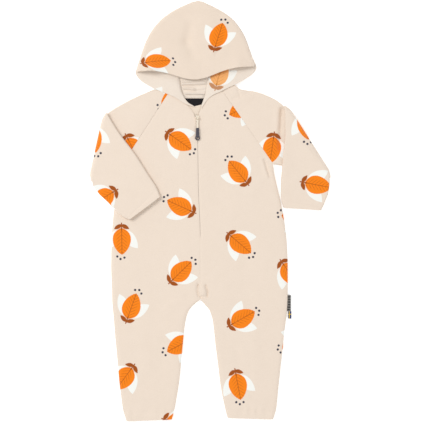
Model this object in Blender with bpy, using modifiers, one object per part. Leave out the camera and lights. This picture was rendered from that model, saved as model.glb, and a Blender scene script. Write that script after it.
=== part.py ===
"""A baby's hooded fleece jumpsuit, laid flat on its back with both sleeves folded over at the elbow.

Every piece of cloth is a wall of one thickness. The back and the hood's lower layer lie on the surface, the
fronts and the hood's crown lie over them with their outer edges rolled down to the side seams, and each
sleeve is a flattened tube that turns over on itself at the elbow. X runs to the right of the garment as it
is seen from above, Y runs towards the hood and Z is up. The origin is the middle of the outline, on the
surface. Lengths are in millimetres up to the point where an object is made, which is in metres.
"""

import math
from typing import NamedTuple

import bpy
from mathutils import Matrix

MM = 0.001
CLOTH = 2.5
SEAM_GAP = 0.3
# The level of the side seams, where an upper wall's edge comes down onto the lower wall.
SEAM_Z = CLOTH + SEAM_GAP
# A rolled rim starts a little higher, because its wall leans inwards where the roll begins and ends.
RIM_Z = SEAM_Z + 0.45
BODY_TOP = 7.4
ROLL_RADIUS = 9.0
# How much of a rolled edge's rise is upright, and the angles along the rest of it.
ROLL_UPRIGHT = 0.2
ROLL_ANGLES = (0, 30, 60, 90)
# The height of the line that each sleeve turns about, and the angles of its turn.
FOLD_Z = 8.0
FOLD_ANGLES = (20, 45, 68, 90, 112, 135, 160)
SLEEVE_STEPS = 7
SLEEVE_END_ANGLES = (-60, -30, 0, 30, 60)
# A roll takes at most this share of a panel's width, and a flat edge has steps this share of a roll apart.
MOST_ROLL, FLAT_EDGE_STEP = 0.4, 0.04
SHARP_ANGLE = 50
PANEL_STEPS = 6
CROWN_STEPS = 10
# The crown's sag is deepest in its middle: its share is a sine raised to this power.
SAG_POWER = 4
SIDE_PANEL_STEPS = 6
SIDE_PANEL_ROLL = 11.0
# The steps across a side panel stand closer together at its inner edge, by this power.
SIDE_PANEL_CROWDING = 1.4
TAPE_WIDTH, TAPE_SPREAD, TAPE_THICK = 22.0, 7.0, 1.0
# The tape stays this far below the deepest part of the fronts over it.
TAPE_DROP = 0.3
TAPE_TOP, TAPE_BOTTOM = (-28.0, 196.0), (-20.0, -56.0)
SLIDER_SIZE = (7.0, 11.0, 1.2)
SLIDER_PLACE = (-24.6, 175.5)
SLIDER_TOP = BODY_TOP + SEAM_GAP + SLIDER_SIZE[2]
PIN_RADIUS = 0.7
EYE_HOLE = PIN_RADIUS + SEAM_GAP
EYE_RADIUS = EYE_HOLE + 0.75
PIN_Z = SLIDER_TOP + SEAM_GAP + EYE_RADIUS
CHEEK_SIZE = (1.2, 3.0, 3.6)
CHEEK_OFFSET = 2.7
CHEEK_PAST_PIN = 0.5
TAB_SIZE = (3.4, 17.5, 1.0)
# The tab's blade hangs a little below the pin.
TAB_DROP = 1.1
TAB_Z = PIN_Z - TAB_DROP
PULLER_LENGTH, PULLER_WIDTH, PULLER_THICK = 23.0, 6.4, 2.4
PULLER_RING, PULLER_HOLE = 4.6, 2.2
# How much wider the strap is at the ring, and the arc that the ring's outside goes through.
PULLER_FLARE, RING_STEPS = 0.4, 12
RING_START, RING_ARC = 150, 240
LABEL_SIZE = (39.0, 17.0, 0.6)
LABEL_PLACE = (-29.5, 205.2)
SIDE_LABEL_WIDTH, SIDE_LABEL_THICK = 5.0, 1.0
SIDE_LABEL_LENGTH, SIDE_FLAG_LENGTH = 31.0, 14.0
SIDE_LABEL_PLACE = (147.3, -175.2)
FLAG_PAST_LABEL = 1.0


class Row(NamedTuple):
    """One line across a panel, from its left edge to its right edge. A roll of 1 is an edge rolled down."""

    left_x: float
    left_y: float
    right_x: float
    right_y: float
    left_roll: float
    right_roll: float


class CrownRow(NamedTuple):
    """One line across the hood's crown: its level, its two ends, how far it sags, and its height."""

    left_x: float
    left_y: float
    right_x: float
    right_y: float
    sag: float
    rise: float
    top: float


class SleeveRow(NamedTuple):
    """One line across a sleeve, from its outer arm edge to its underarm edge, and how far each end sinks."""

    arm_x: float
    arm_y: float
    under_x: float
    under_y: float
    arm_sink: float
    under_sink: float


class SideRow(NamedTuple):
    """One line across a side panel of the hood, from its inner edge to its hem.

    The heights are its underside's, and rise_from is how far from the inner edge it starts to rise.
    """

    inner_x: float
    inner_y: float
    inner_z: float
    hem_x: float
    hem_y: float
    hem_z: float
    rise_from: float


class Fold(NamedTuple):
    """A soft ridge, or a trough where the height is below zero, along a straight line in an upper wall."""

    start_x: float
    start_y: float
    end_x: float
    end_y: float
    half_width: float
    height: float


FRONT_LEFT = [
    Row(-80.8, 222.0, -70.5, 222.0, 0, 0),
    Row(-86.0, 214.0, -57.0, 213.0, 0, 0),
    Row(-92.2, 204.4, -44.0, 201.5, 0, 0),
    Row(-103.6, 186.8, -33.2, 187.0, 0, 0),
    Row(-115.0, 169.3, -26.6, 170.5, 0, 0),
    Row(-134.0, 140.0, -24.7, 140.0, 0, 0),
    Row(-148.2, 118.2, -24.2, 115.5, 0, 0),
    Row(-162.4, 96.4, -23.9, 92.5, 0, 0),
    Row(-170.5, 74.0, -23.6, 71.0, 1, 0),
    Row(-176.0, 49.0, -23.3, 48.0, 1, 0),
    Row(-183.0, 6.0, -21.6, 6.0, 1, 0),
    Row(-187.6, -45.0, -19.6, -44.0, 1, 0),
    Row(-189.0, -103.0, -19.0, -103.0, 1, 0),
    Row(-187.6, -150.0, -19.0, -146.0, 1, 0),
    Row(-187.0, -172.0, -19.1, -166.6, 1, 0),
    Row(-185.8, -186.0, -28.5, -175.5, 1, 1),
    Row(-184.2, -203.0, -40.5, -188.5, 1, 1),
    Row(-182.3, -228.0, -47.5, -209.5, 1, 1),
    Row(-179.5, -257.0, -51.6, -243.0, 1, 1),
    Row(-176.8, -286.0, -54.4, -274.0, 1, 1),
    Row(-173.5, -322.0, -59.2, -323.0, 1, 1),
    Row(-169.8, -354.0, -64.4, -356.0, 1, 1),
    Row(-166.6, -377.0, -68.8, -379.5, 1, 1),
    Row(-159.9, -400.0, -73.5, -396.5, 1, 1),
]
FRONT_RIGHT = [
    Row(7.0, 225.0, 22.0, 228.9, 0, 0),
    Row(-8.5, 211.0, 33.0, 213.0, 0, 0),
    Row(-14.0, 203.0, 40.2, 202.6, 0, 0),
    Row(-23.2, 179.0, 54.5, 182.0, 0, 0),
    Row(-24.4, 158.0, 68.3, 162.0, 0, 0),
    Row(-24.1, 139.7, 82.2, 142.0, 0, 0),
    Row(-23.9, 115.2, 100.5, 115.5, 0, 0),
    Row(-23.6, 92.2, 117.5, 91.0, 0, 0),
    Row(-23.3, 70.7, 121.0, 72.0, 0, 1),
    Row(-23.0, 47.7, 126.0, 49.0, 0, 1),
    Row(-21.3, 5.7, 136.0, 4.0, 0, 1),
    Row(-19.3, -44.3, 144.5, -54.0, 0, 1),
    Row(-18.7, -103.3, 146.8, -103.0, 0, 1),
    Row(-18.7, -146.3, 146.9, -150.0, 0, 1),
    Row(-18.6, -166.6, 146.4, -172.0, 0, 1),
    Row(-12.4, -176.5, 145.6, -186.0, 1, 1),
    Row(-1.8, -189.5, 143.9, -203.0, 1, 1),
    Row(4.2, -209.5, 140.6, -230.0, 1, 1),
    Row(9.6, -256.5, 136.6, -268.0, 1, 1),
    Row(14.8, -297.0, 132.4, -306.0, 1, 1),
    Row(19.2, -333.0, 128.6, -342.0, 1, 1),
    Row(26.8, -372.0, 125.0, -376.0, 1, 1),
    Row(32.3, -393.6, 119.2, -396.4, 1, 1),
]
# The back's neck edge, from the left raglan seam to the right one.
BACK_NECK = [(-66.0, 217.5), (-49.0, 215.6), (-28.0, 214.8), (-4.0, 215.6), (10.0, 222.0)]
CROTCH = (-18.9, -167.0)

SLEEVE_LEFT = [
    SleeveRow(-78.9, 225.5, -164.3, 94.1, 0, 0),
    SleeveRow(-103.5, 230.5, -173.5, 88.5, 0, 0),
    SleeveRow(-127.5, 222.5, -184.0, 82.0, 0, 0),
    SleeveRow(-166.0, 204.0, -203.0, 70.0, 0, 0),
    SleeveRow(-194.0, 186.8, -222.5, 57.4, 0, 0),
]
SLEEVE_LEFT_TURN = SleeveRow(-195.4, 185.6, -224.4, 55.7, 0, 0)
SLEEVE_LEFT_OVER = [
    SleeveRow(-194.4, 182.8, -222.4, 46.6, 0, 0),
    SleeveRow(-176.0, 152.0, -212.0, 32.6, 0, 0),
    SleeveRow(-142.6, 107.0, -193.6, 15.4, 0, 0),
    SleeveRow(-115.5, 64.9, -177.2, -2.0, 0.3, 0.3),
    SleeveRow(-104.0, 47.4, -162.0, -13.8, 0.6, 0.6),
    SleeveRow(-94.6, 27.2, -153.4, -16.8, 0.8, 0.8),
]
SLEEVE_RIGHT = [
    SleeveRow(20.0, 232.4, 119.5, 88.7, 0, 0),
    SleeveRow(44.0, 240.0, 136.0, 86.0, 0, 0),
    SleeveRow(56.0, 231.5, 146.0, 83.5, 0, 0),
    SleeveRow(85.0, 226.8, 168.0, 79.5, 0, 0),
    SleeveRow(119.5, 213.6, 199.0, 71.0, 0, 0),
    SleeveRow(136.8, 201.2, 222.8, 63.2, 0, 0),
]
SLEEVE_RIGHT_TURN = SleeveRow(139.4, 198.2, 226.0, 61.8, 0, 0)
SLEEVE_RIGHT_OVER = [
    SleeveRow(140.6, 192.4, 226.2, 53.4, 0, 0),
    SleeveRow(141.5, 152.0, 225.0, 42.0, 0, 0.8),
    SleeveRow(137.6, 105.0, 221.4, 27.0, 0, 3.0),
    SleeveRow(135.1, 76.0, 217.6, 17.5, 1.0, 5.0),
    SleeveRow(133.2, 47.4, 214.4, 9.0, 5.0, 7.0),
    SleeveRow(134.6, 20.0, 211.6, 4.0, 8.2, 8.5),
    SleeveRow(139.1, 5.6, 210.8, 0.9, 8.6, 8.6),
]

CROWN = [
    CrownRow(-31.0, 398.3, -16.4, 398.3, 0, 0.0, 7.4),
    CrownRow(-31.5, 398.2, -15.9, 398.2, 0, 0.4, 7.4),
    CrownRow(-36.0, 396.6, -12.0, 396.6, 0, 0.7, 7.4),
    CrownRow(-48.0, 391.5, -2.5, 391.5, 0, 0.94, 7.6),
    CrownRow(-62.0, 385.0, 9.0, 386.0, 0, 1.0, 7.8),
    CrownRow(-79.0, 375.0, 24.0, 378.0, 0, 1.0, 8.0),
    CrownRow(-95.0, 362.5, 40.0, 366.0, 0, 1.0, 8.0),
    CrownRow(-108.0, 347.5, 53.5, 350.0, 1, 1.0, 8.0),
    CrownRow(-119.0, 329.5, 64.0, 332.0, 3, 1.0, 8.0),
    CrownRow(-127.5, 309.0, 72.0, 312.0, 6, 1.0, 8.5),
    CrownRow(-134.5, 289.0, 78.5, 294.0, 11, 1.0, 9.6),
    CrownRow(-139.6, 273.5, 84.0, 281.0, 16, 1.0, 11.2),
    CrownRow(-141.0, 264.5, 83.5, 274.0, 20, 1.0, 12.0),
]
# The lower layer of the hood, round its outline from the tip down the left side and back up the right.
HOOD_BACK = [
    (-23.7, 399.9), (-38.0, 395.5), (-61.5, 384.5), (-87.5, 368.0), (-107.0, 349.5), (-120.0, 328.5),
    (-128.5, 307.5), (-134.9, 288.0), (-140.7, 270.0), (-142.9, 263.2), (-138.0, 253.4), (-123.5, 241.8),
    (-106.0, 236.0), (-77.0, 229.4), (-52.0, 216.2), (-28.0, 215.4), (-4.0, 216.2), (10.0, 222.6),
    (13.0, 229.0), (19.0, 235.0), (28.0, 239.0), (44.0, 244.5), (56.0, 247.5), (68.0, 252.5),
    (81.0, 261.5), (87.5, 272.0), (80.0, 291.5), (73.5, 310.0), (65.0, 332.0), (55.0, 349.0),
    (41.5, 365.0), (25.0, 377.5), (4.0, 389.0), (-15.0, 397.5),
]
SIDE_LEFT = [
    SideRow(-137.6, 262.0, 2.8, -139.6, 259.0, 2.8, 0),
    SideRow(-130.0, 270.0, 2.8, -134.0, 249.0, 2.8, 0),
    SideRow(-111.0, 273.0, 2.8, -121.0, 239.8, 2.8, 0),
    SideRow(-86.5, 271.5, 2.8, -103.6, 230.6, 7.7, 18),
    SideRow(-63.7, 264.0, 2.8, -80.8, 221.4, 7.7, 10),
    SideRow(-58.9, 248.5, 2.8, -65.6, 214.5, 7.7, 0),
    SideRow(-57.0, 233.5, 2.8, -56.0, 208.0, 7.7, 0),
    SideRow(-53.2, 220.5, 2.8, -44.6, 202.0, 7.7, 0),
    SideRow(-46.6, 208.2, 7.0, -35.1, 198.8, 7.7, 0),
    SideRow(-34.6, 200.9, 7.7, -29.4, 197.4, 7.7, 0),
]
SIDE_RIGHT = [
    SideRow(81.5, 271.0, 2.8, 84.6, 268.4, 2.8, 0),
    SideRow(73.0, 278.0, 2.8, 79.8, 260.0, 2.8, 0),
    SideRow(56.0, 281.0, 2.8, 67.5, 251.3, 2.8, 0),
    SideRow(33.3, 277.0, 2.8, 50.4, 241.4, 7.7, 17),
    SideRow(8.6, 269.0, 2.8, 32.9, 233.4, 7.7, 13),
    SideRow(-2.9, 254.3, 2.8, 18.4, 226.2, 7.7, 2),
    SideRow(-7.6, 237.0, 2.8, 4.8, 220.1, 7.7, 0),
    SideRow(-10.0, 222.0, 3.4, -6.5, 210.5, 7.7, 0),
    SideRow(-13.3, 211.6, 7.7, -12.6, 202.0, 7.7, 0),
    SideRow(-17.3, 200.6, 7.7, -17.5, 193.6, 7.7, 0),
]

FOLDS = [
    # The soft bulge and the valley beside it in the crown, and the fullness under its tip.
    Fold(-4.0, 362.0, 6.0, 318.0, 26.0, 2.6),
    Fold(-42.0, 356.0, -38.0, 300.0, 15.0, -1.6),
    Fold(-48.0, 384.0, 8.0, 384.0, 12.0, 1.2),
    # The trough down the chest, the wrinkle at the right underarm and the pucker above the crotch.
    Fold(17.0, 150.0, 18.0, 20.0, 20.0, -1.2),
    Fold(102.0, 98.0, 111.0, 67.0, 10.0, 1.6),
    Fold(-24.0, -140.0, -22.0, -168.0, 12.0, -1.2),
    Fold(-8.0, -140.0, -8.0, -166.0, 12.0, 1.0),
    Fold(-110.0, -60.0, -98.0, -190.0, 26.0, -1.0),
    Fold(70.0, -70.0, 62.0, -200.0, 26.0, -1.0),
]
MOST_RELIEF = 3.0

CLOTH_ROUGHNESS, HARD_ROUGHNESS, METAL_SHARE = 0.9, 0.4, 0.3
CREAM, CREAM_INSIDE = (0.855, 0.735, 0.625), (0.88, 0.78, 0.68)
NEAR_BLACK, CHARCOAL, NAVY = (0.012, 0.010, 0.012), (0.065, 0.060, 0.080), (0.03, 0.06, 0.17)


def clear_scene() -> None:
    """Remove every object that the scene starts with."""
    for obj in list(bpy.data.objects):
        bpy.data.objects.remove(obj, do_unlink=True)


def make_collection(name: str) -> bpy.types.Collection:
    """Make a collection in the scene."""
    collection = bpy.data.collections.new(name)
    bpy.context.scene.collection.children.link(collection)
    return collection


def make_material(name: str, colour: tuple, roughness: float, metallic: float = 0.0) -> bpy.types.Material:
    """Make a Principled material."""
    material = bpy.data.materials.new(name)
    material.use_nodes = True
    shader = material.node_tree.nodes["Principled BSDF"]
    shader.inputs["Base Color"].default_value = (*colour, 1.0)
    shader.inputs["Roughness"].default_value = roughness
    shader.inputs["Metallic"].default_value = metallic
    return material


def add_mesh(name: str, points: list, faces: list, colour: tuple) -> bpy.types.Object:
    """Make a mesh object from points in millimetres, in the part's collection."""
    mesh = bpy.data.meshes.new(name)
    mesh.from_pydata([(x * MM, y * MM, z * MM) for x, y, z in points], [], faces)
    mesh.materials.append(make_material(name, colour, CLOTH_ROUGHNESS))
    mesh.validate()
    obj = bpy.data.objects.new(name, mesh)
    PARTS.objects.link(obj)
    mesh.shade_smooth()
    mesh.set_sharp_from_angle(angle=math.radians(SHARP_ANGLE))
    return obj


def relief(x: float, y: float) -> float:
    """The height that the folds add to an upper wall at a place."""
    total = 0.0
    for fold in FOLDS:
        run_x, run_y = fold.end_x - fold.start_x, fold.end_y - fold.start_y
        along = ((x - fold.start_x) * run_x + (y - fold.start_y) * run_y) / (run_x**2 + run_y**2)
        along = min(max(along, 0.0), 1.0)
        away = math.hypot(x - fold.start_x - along * run_x, y - fold.start_y - along * run_y)
        total += fold.height * math.exp(-((away / fold.half_width) ** 2))
    return min(total, MOST_RELIEF)


def between(start: tuple, end: tuple, share: float) -> tuple:
    """The point at a share of the way from start to end, in the plane."""
    return start[0] + (end[0] - start[0]) * share, start[1] + (end[1] - start[1]) * share


def edge_steps(roll: float, radius: float) -> list:
    """(distance from the edge, share of the full rise) at each step in from a rolled or a flat edge."""
    steps = [(0.0, 1.0 - roll)]
    for angle in ROLL_ANGLES:
        turn = math.radians(angle)
        away = radius * max(1 - math.cos(turn), FLAT_EDGE_STEP * (1.0 - roll))
        rise = ROLL_UPRIGHT + (1 - ROLL_UPRIGHT) * math.sin(turn)
        steps.append((away, 1.0 - roll * (1.0 - rise)))
    return steps


def row_steps(width: float, left_roll: float, right_roll: float, count: int) -> list:
    """(distance from the left edge, share of the full rise) at each step across a panel."""
    radius = min(ROLL_RADIUS, MOST_ROLL * width)
    left, right = edge_steps(left_roll, radius), edge_steps(right_roll, radius)
    middle = [(radius + (width - 2 * radius) * step / count, 1.0) for step in range(1, count)]
    return left + middle + [(width - away, rise) for away, rise in reversed(right)]


def grid_faces(rows: int, columns: int) -> list:
    """The faces of a grid of points, which face up where rows run down and columns to the right."""
    faces = []
    for row in range(rows - 1):
        for column in range(columns - 1):
            start = row * columns + column
            faces.append((start, start + columns, start + columns + 1, start + 1))
    return faces


def thicken(obj: bpy.types.Object, offset: float) -> None:
    """Give an open surface the cloth's thickness, below it for an offset of -1 and above it for 1."""
    wall = obj.modifiers.new("wall", "SOLIDIFY")
    wall.thickness = CLOTH * MM
    wall.offset = offset
    wall.use_even_offset = True


def build_front(name: str, rows: list) -> None:
    """A front with its leg: its side and inner leg edges rolled down, its seams flat."""
    points = []
    for row in rows:
        start, end = (row.left_x, row.left_y), (row.right_x, row.right_y)
        width = math.dist(start, end)
        for away, rise in row_steps(width, row.left_roll, row.right_roll, PANEL_STEPS):
            x, y = between(start, end, away / width)
            points.append((x, y, RIM_Z + (BODY_TOP + relief(x, y) - RIM_Z) * rise))
    columns = len(points) // len(rows)
    thicken(add_mesh(name, points, grid_faces(len(rows), columns), CREAM), -1)


def build_crown() -> None:
    """The hood's upper layer: rolled down along its outline, open along its front hem."""
    points = []
    for row in CROWN:
        start, end = (row.left_x, row.left_y), (row.right_x, row.right_y)
        width = math.dist(start, end)
        for away, rise in row_steps(width, 1, 1, CROWN_STEPS):
            share = away / width
            x, y = between(start, end, share)
            y -= row.sag * math.sin(math.pi * share) ** SAG_POWER
            points.append((x, y, RIM_Z + (row.top + relief(x, y) - RIM_Z) * rise * row.rise))
    columns = len(points) // len(CROWN)
    thicken(add_mesh("hood_crown", points, grid_faces(len(CROWN), columns), CREAM), -1)


def build_side_panel(name: str, rows: list, mirrored: bool) -> None:
    """A lower side panel of the hood: one layer, turned down into the neck along its inner edge."""
    points = []
    for row in rows:
        start, end = (row.inner_x, row.inner_y), (row.hem_x, row.hem_y)
        width = math.dist(start, end)
        for step in range(SIDE_PANEL_STEPS + 1):
            share = (step / SIDE_PANEL_STEPS) ** SIDE_PANEL_CROWDING
            x, y = between(start, end, share)
            turn = min(max(share * width - row.rise_from, 0.0) / SIDE_PANEL_ROLL, 1.0) * math.pi / 2
            points.append((x, y, row.inner_z + (row.hem_z - row.inner_z) * math.sin(turn)))
    faces = grid_faces(len(rows), SIDE_PANEL_STEPS + 1)
    if not mirrored:
        faces = [tuple(reversed(face)) for face in faces]
    thicken(add_mesh(name, points, faces, CREAM_INSIDE), 1)


def flat_piece(name: str, outline: list, low: float, thick: float, colour: tuple) -> bpy.types.Object:
    """A flat piece with an outline: a filled curve with a thickness."""
    curve = bpy.data.curves.new(name, "CURVE")
    curve.dimensions = "2D"
    curve.fill_mode = "BOTH"
    curve.extrude = thick / 2 * MM
    spline = curve.splines.new("POLY")
    spline.points.add(len(outline) - 1)
    for point, (x, y) in zip(spline.points, outline, strict=True):
        point.co = (x * MM, y * MM, 0, 1)
    spline.use_cyclic_u = True
    curve.materials.append(make_material(name, colour, CLOTH_ROUGHNESS))
    obj = bpy.data.objects.new(name, curve)
    obj.location.z = (low + thick / 2) * MM
    PARTS.objects.link(obj)
    return obj


def build_back() -> None:
    """The back with both legs, flat on the surface."""
    left = [(row.left_x, row.left_y) for row in FRONT_LEFT]
    left_inner = [(row.right_x, row.right_y) for row in FRONT_LEFT if row.right_roll]
    right = [(row.right_x, row.right_y) for row in FRONT_RIGHT]
    right_inner = [(row.left_x, row.left_y) for row in FRONT_RIGHT if row.left_roll]
    outline = left + list(reversed(left_inner)) + [CROTCH] + right_inner + list(reversed(right))
    flat_piece("back", outline + list(reversed(BACK_NECK)), 0.0, CLOTH, CREAM)


def sleeve_section(width: float, inset: float) -> list:
    """(distance across, height) round a flattened tube, from its top arm edge round to its underside."""
    half = BODY_TOP / 2
    radius = half - inset
    inner_width = width - 2 * half
    top = [(half + inner_width * step / SLEEVE_STEPS, BODY_TOP - inset) for step in range(SLEEVE_STEPS + 1)]
    bottom = [(across, inset) for across, _ in reversed(top)]
    under_end, arm_end = [], []
    for angle in SLEEVE_END_ANGLES:
        turn = math.radians(angle)
        under_end.append((width - half + radius * math.cos(turn), half - radius * math.sin(turn)))
        arm_end.append((half - radius * math.cos(turn), half + radius * math.sin(turn)))
    return top + under_end + bottom + arm_end


def sleeve_ring(row: SleeveRow, inset: float, turn: float, side: tuple) -> list:
    """One ring of a sleeve: flat at a turn of 0, turned over at 180, and on the way round between."""
    start, end = (row.arm_x, row.arm_y), (row.under_x, row.under_y)
    width = math.dist(start, end)
    angle = math.radians(turn)
    ring = []
    for across, height in sleeve_section(width, inset):
        x, y = between(start, end, across / width)
        reach = FOLD_Z - height
        out = reach * math.sin(angle)
        sink = row.arm_sink + (row.under_sink - row.arm_sink) * across / width
        ring.append((x + side[0] * out, y + side[1] * out, FOLD_Z - reach * math.cos(angle) - sink))
    return ring


def build_sleeve(name: str, upper: list, turn_row: SleeveRow, over: list, outward: float) -> None:
    """A sleeve: a flattened tube from its raglan seam to the elbow, turned over there, and on to the cuff."""
    run_x, run_y = turn_row.under_x - turn_row.arm_x, turn_row.under_y - turn_row.arm_y
    length = math.hypot(run_x, run_y)
    side = (-outward * run_y / length, outward * run_x / length)
    stations = [(row, 0) for row in upper] + [(turn_row, 0)]
    stations += [(turn_row, angle) for angle in FOLD_ANGLES]
    stations += [(turn_row, 180)] + [(row, 180) for row in over]
    outer = [sleeve_ring(row, 0.0, turn, side) for row, turn in stations]
    inner = [sleeve_ring(row, CLOTH, turn, side) for row, turn in stations]
    count, rings = len(outer[0]), len(stations)
    points = [point for ring in outer + inner for point in ring]
    faces = []
    for column in range(count):
        after = (column + 1) % count
        for ring in range(rings - 1):
            low, high = ring * count, (ring + 1) * count
            faces.append((low + column, high + column, high + after, low + after))
            low, high = low + rings * count, high + rings * count
            faces.append((low + after, high + after, high + column, low + column))
        last, inside = (rings - 1) * count, rings * count
        faces.append((column, after, inside + after, inside + column))
        faces.append((last + after, last + column, last + inside + column, last + inside + after))
    if outward > 0:
        faces = [tuple(reversed(face)) for face in faces]
    add_mesh(name, points, faces, CREAM)


def move_to(obj: bpy.types.Object, collection: bpy.types.Collection) -> None:
    """Put an object in one collection only."""
    for other in list(obj.users_collection):
        other.objects.unlink(obj)
    collection.objects.link(obj)


def add_box(name: str, centre: tuple, size: tuple, colour: tuple, metallic: float = 0.0) -> bpy.types.Object:
    """A box in the part's collection."""
    bpy.ops.mesh.primitive_cube_add(size=1, location=[value * MM for value in centre])
    obj = bpy.context.object
    obj.name = name
    obj.data.transform(Matrix.Diagonal((size[0] * MM, size[1] * MM, size[2] * MM, 1)))
    obj.data.materials.append(make_material(name, colour, HARD_ROUGHNESS, metallic))
    move_to(obj, PARTS)
    return obj


def add_rod(name: str, radius: float, length: float) -> bpy.types.Object:
    """A round rod along the pin's axis, in the part's collection."""
    x, y = SLIDER_PLACE
    bpy.ops.mesh.primitive_cylinder_add(
        vertices=16,
        radius=radius * MM,
        depth=length * MM,
        location=(x * MM, y * MM, PIN_Z * MM),
        rotation=(0, math.pi / 2, 0),
    )
    obj = bpy.context.object
    obj.name = name
    move_to(obj, PARTS)
    return obj


def combine(body: bpy.types.Object, other: bpy.types.Object, operation: str) -> None:
    """Join a helper to a body, or cut it away, with a Boolean that stays on the body."""
    move_to(other, CUTTERS)
    other.hide_render = True
    other.display_type = "WIRE"
    step = body.modifiers.new(other.name, "BOOLEAN")
    step.operation = operation
    step.object = other


def build_zip() -> None:
    """The tape under the front edges."""
    half, top_half = TAPE_WIDTH / 2, TAPE_WIDTH / 2 + TAPE_SPREAD
    outline = [
        (TAPE_TOP[0] - top_half, TAPE_TOP[1]),
        (TAPE_BOTTOM[0] - half, TAPE_BOTTOM[1]),
        (TAPE_BOTTOM[0] + half, TAPE_BOTTOM[1]),
        (TAPE_TOP[0] + top_half, TAPE_TOP[1]),
    ]
    low = BODY_TOP - CLOTH - SEAM_GAP - TAPE_DROP - TAPE_THICK
    flat_piece("zip_tape", outline, low, TAPE_THICK, CREAM)


def build_slider() -> None:
    """The slider on the closed zip, with two cheeks and the pin that its tab swings on."""
    x, y = SLIDER_PLACE
    body = add_box("zip_slider", (x, y, SLIDER_TOP - SLIDER_SIZE[2] / 2), SLIDER_SIZE, CREAM, METAL_SHARE)
    cheek_z = PIN_Z + PIN_RADIUS + CHEEK_PAST_PIN - CHEEK_SIZE[2] / 2
    for name, side in (("left_cheek", -1), ("right_cheek", 1)):
        combine(body, add_box(name, (x + side * CHEEK_OFFSET, y, cheek_z), CHEEK_SIZE, CREAM), "UNION")
    combine(body, add_rod("pin", PIN_RADIUS, 2 * CHEEK_OFFSET), "UNION")


def build_tab() -> bpy.types.Object:
    """The metal tab: an eye round the slider's pin and a flat blade that lies down the zip."""
    x, y = SLIDER_PLACE
    tab = add_rod("zip_tab", EYE_RADIUS, TAB_SIZE[0])
    tab.data.materials.append(make_material("zip_tab", CREAM, HARD_ROUGHNESS, METAL_SHARE))
    blade_y = y - EYE_HOLE - TAB_SIZE[1] / 2
    combine(tab, add_box("blade", (x, blade_y, TAB_Z), TAB_SIZE, CREAM), "UNION")
    combine(tab, add_rod("eye_hole", EYE_HOLE, TAB_SIZE[0] * 2), "DIFFERENCE")
    return tab


def build_puller() -> bpy.types.Object:
    """The rubber puller moulded onto the tab's end: a tapered strap that ends in a ring."""
    x, y = SLIDER_PLACE
    top = y - EYE_HOLE - TAB_SIZE[1] - SEAM_GAP
    ring_y = top - PULLER_LENGTH + PULLER_RING
    shoulder_x, shoulder_y = PULLER_WIDTH / 2 + PULLER_FLARE, ring_y + PULLER_RING
    outline = [(x - PULLER_WIDTH / 2, top), (x - shoulder_x, shoulder_y)]
    for step in range(1, RING_STEPS):
        turn = math.radians(RING_START + RING_ARC * step / RING_STEPS)
        outline.append((x + PULLER_RING * math.cos(turn), ring_y + PULLER_RING * math.sin(turn)))
    outline += [(x + shoulder_x, shoulder_y), (x + PULLER_WIDTH / 2, top)]
    puller = flat_piece("zip_puller", outline, TAB_Z - PULLER_THICK / 2, PULLER_THICK, CHARCOAL)
    hole = puller.data.splines.new("POLY")
    hole.points.add(RING_STEPS - 1)
    for step, point in enumerate(hole.points):
        turn = 2 * math.pi * step / RING_STEPS
        place_x, place_y = x + PULLER_HOLE * math.cos(turn), ring_y + PULLER_HOLE * math.sin(turn)
        point.co = (place_x * MM, place_y * MM, 0, 1)
    hole.use_cyclic_u = True
    return puller


def hang_from_pin(pieces: list) -> None:
    """Hang pieces from an empty on the pin's axis, which they swing about, without moving them."""
    x, y = SLIDER_PLACE
    pivot = bpy.data.objects.new("pull_pivot", None)
    pivot.location = (x * MM, y * MM, PIN_Z * MM)
    PARTS.objects.link(pivot)
    bpy.context.view_layer.update()
    for piece in pieces:
        piece.parent = pivot
        piece.matrix_parent_inverse = pivot.matrix_world.inverted()


def build_labels() -> None:
    """The bare neck label and the folded label in the side seam, with the flag on its end."""
    x, y = LABEL_PLACE
    add_box("neck_label", (x, y, SEAM_Z + LABEL_SIZE[2] / 2), LABEL_SIZE, NEAR_BLACK)
    x, y = SIDE_LABEL_PLACE
    middle = x + SEAM_GAP + SIDE_LABEL_WIDTH / 2
    z = SEAM_Z + SIDE_LABEL_THICK / 2
    size = (SIDE_LABEL_WIDTH, SIDE_LABEL_LENGTH, SIDE_LABEL_THICK)
    add_box("side_label", (middle, y, z), size, NEAR_BLACK)
    flag_y = y - SIDE_LABEL_LENGTH / 2 - SEAM_GAP - SIDE_FLAG_LENGTH / 2
    size = (SIDE_LABEL_WIDTH + FLAG_PAST_LABEL, SIDE_FLAG_LENGTH, SIDE_LABEL_THICK)
    add_box("side_flag", (middle + FLAG_PAST_LABEL / 2, flag_y, z), size, NAVY)


clear_scene()
PARTS = make_collection("fleece_jumpsuit")
CUTTERS = make_collection("cutters")
build_back()
build_front("front_left", FRONT_LEFT)
build_front("front_right", FRONT_RIGHT)
build_sleeve("sleeve_left", SLEEVE_LEFT, SLEEVE_LEFT_TURN, SLEEVE_LEFT_OVER, -1)
build_sleeve("sleeve_right", SLEEVE_RIGHT, SLEEVE_RIGHT_TURN, SLEEVE_RIGHT_OVER, 1)
flat_piece("hood_back", HOOD_BACK, 0.0, CLOTH, CREAM_INSIDE)
build_crown()
build_side_panel("hood_side_left", SIDE_LEFT, False)
build_side_panel("hood_side_right", SIDE_RIGHT, True)
build_zip()
build_slider()
hang_from_pin([build_tab(), build_puller()])
build_labels()
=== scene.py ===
"""Dress the laid-out fleece jumpsuit: shells of printed cloth, its zip, its labels and the table that it lies on.

Lengths are millimetres in the part's own frame: X to the right of the picture, Y towards the hood, Z up from
the surface. Meshes are made in metres.
"""

from __future__ import annotations

import logging
import math
from collections.abc import Sequence
from dataclasses import dataclass, field
from enum import Enum
from typing import NamedTuple

import bpy
import numpy as np
from bpy.types import Material, Node, NodeSocket, Object
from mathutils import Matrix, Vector
from mathutils.geometry import delaunay_2d_cdt

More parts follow.
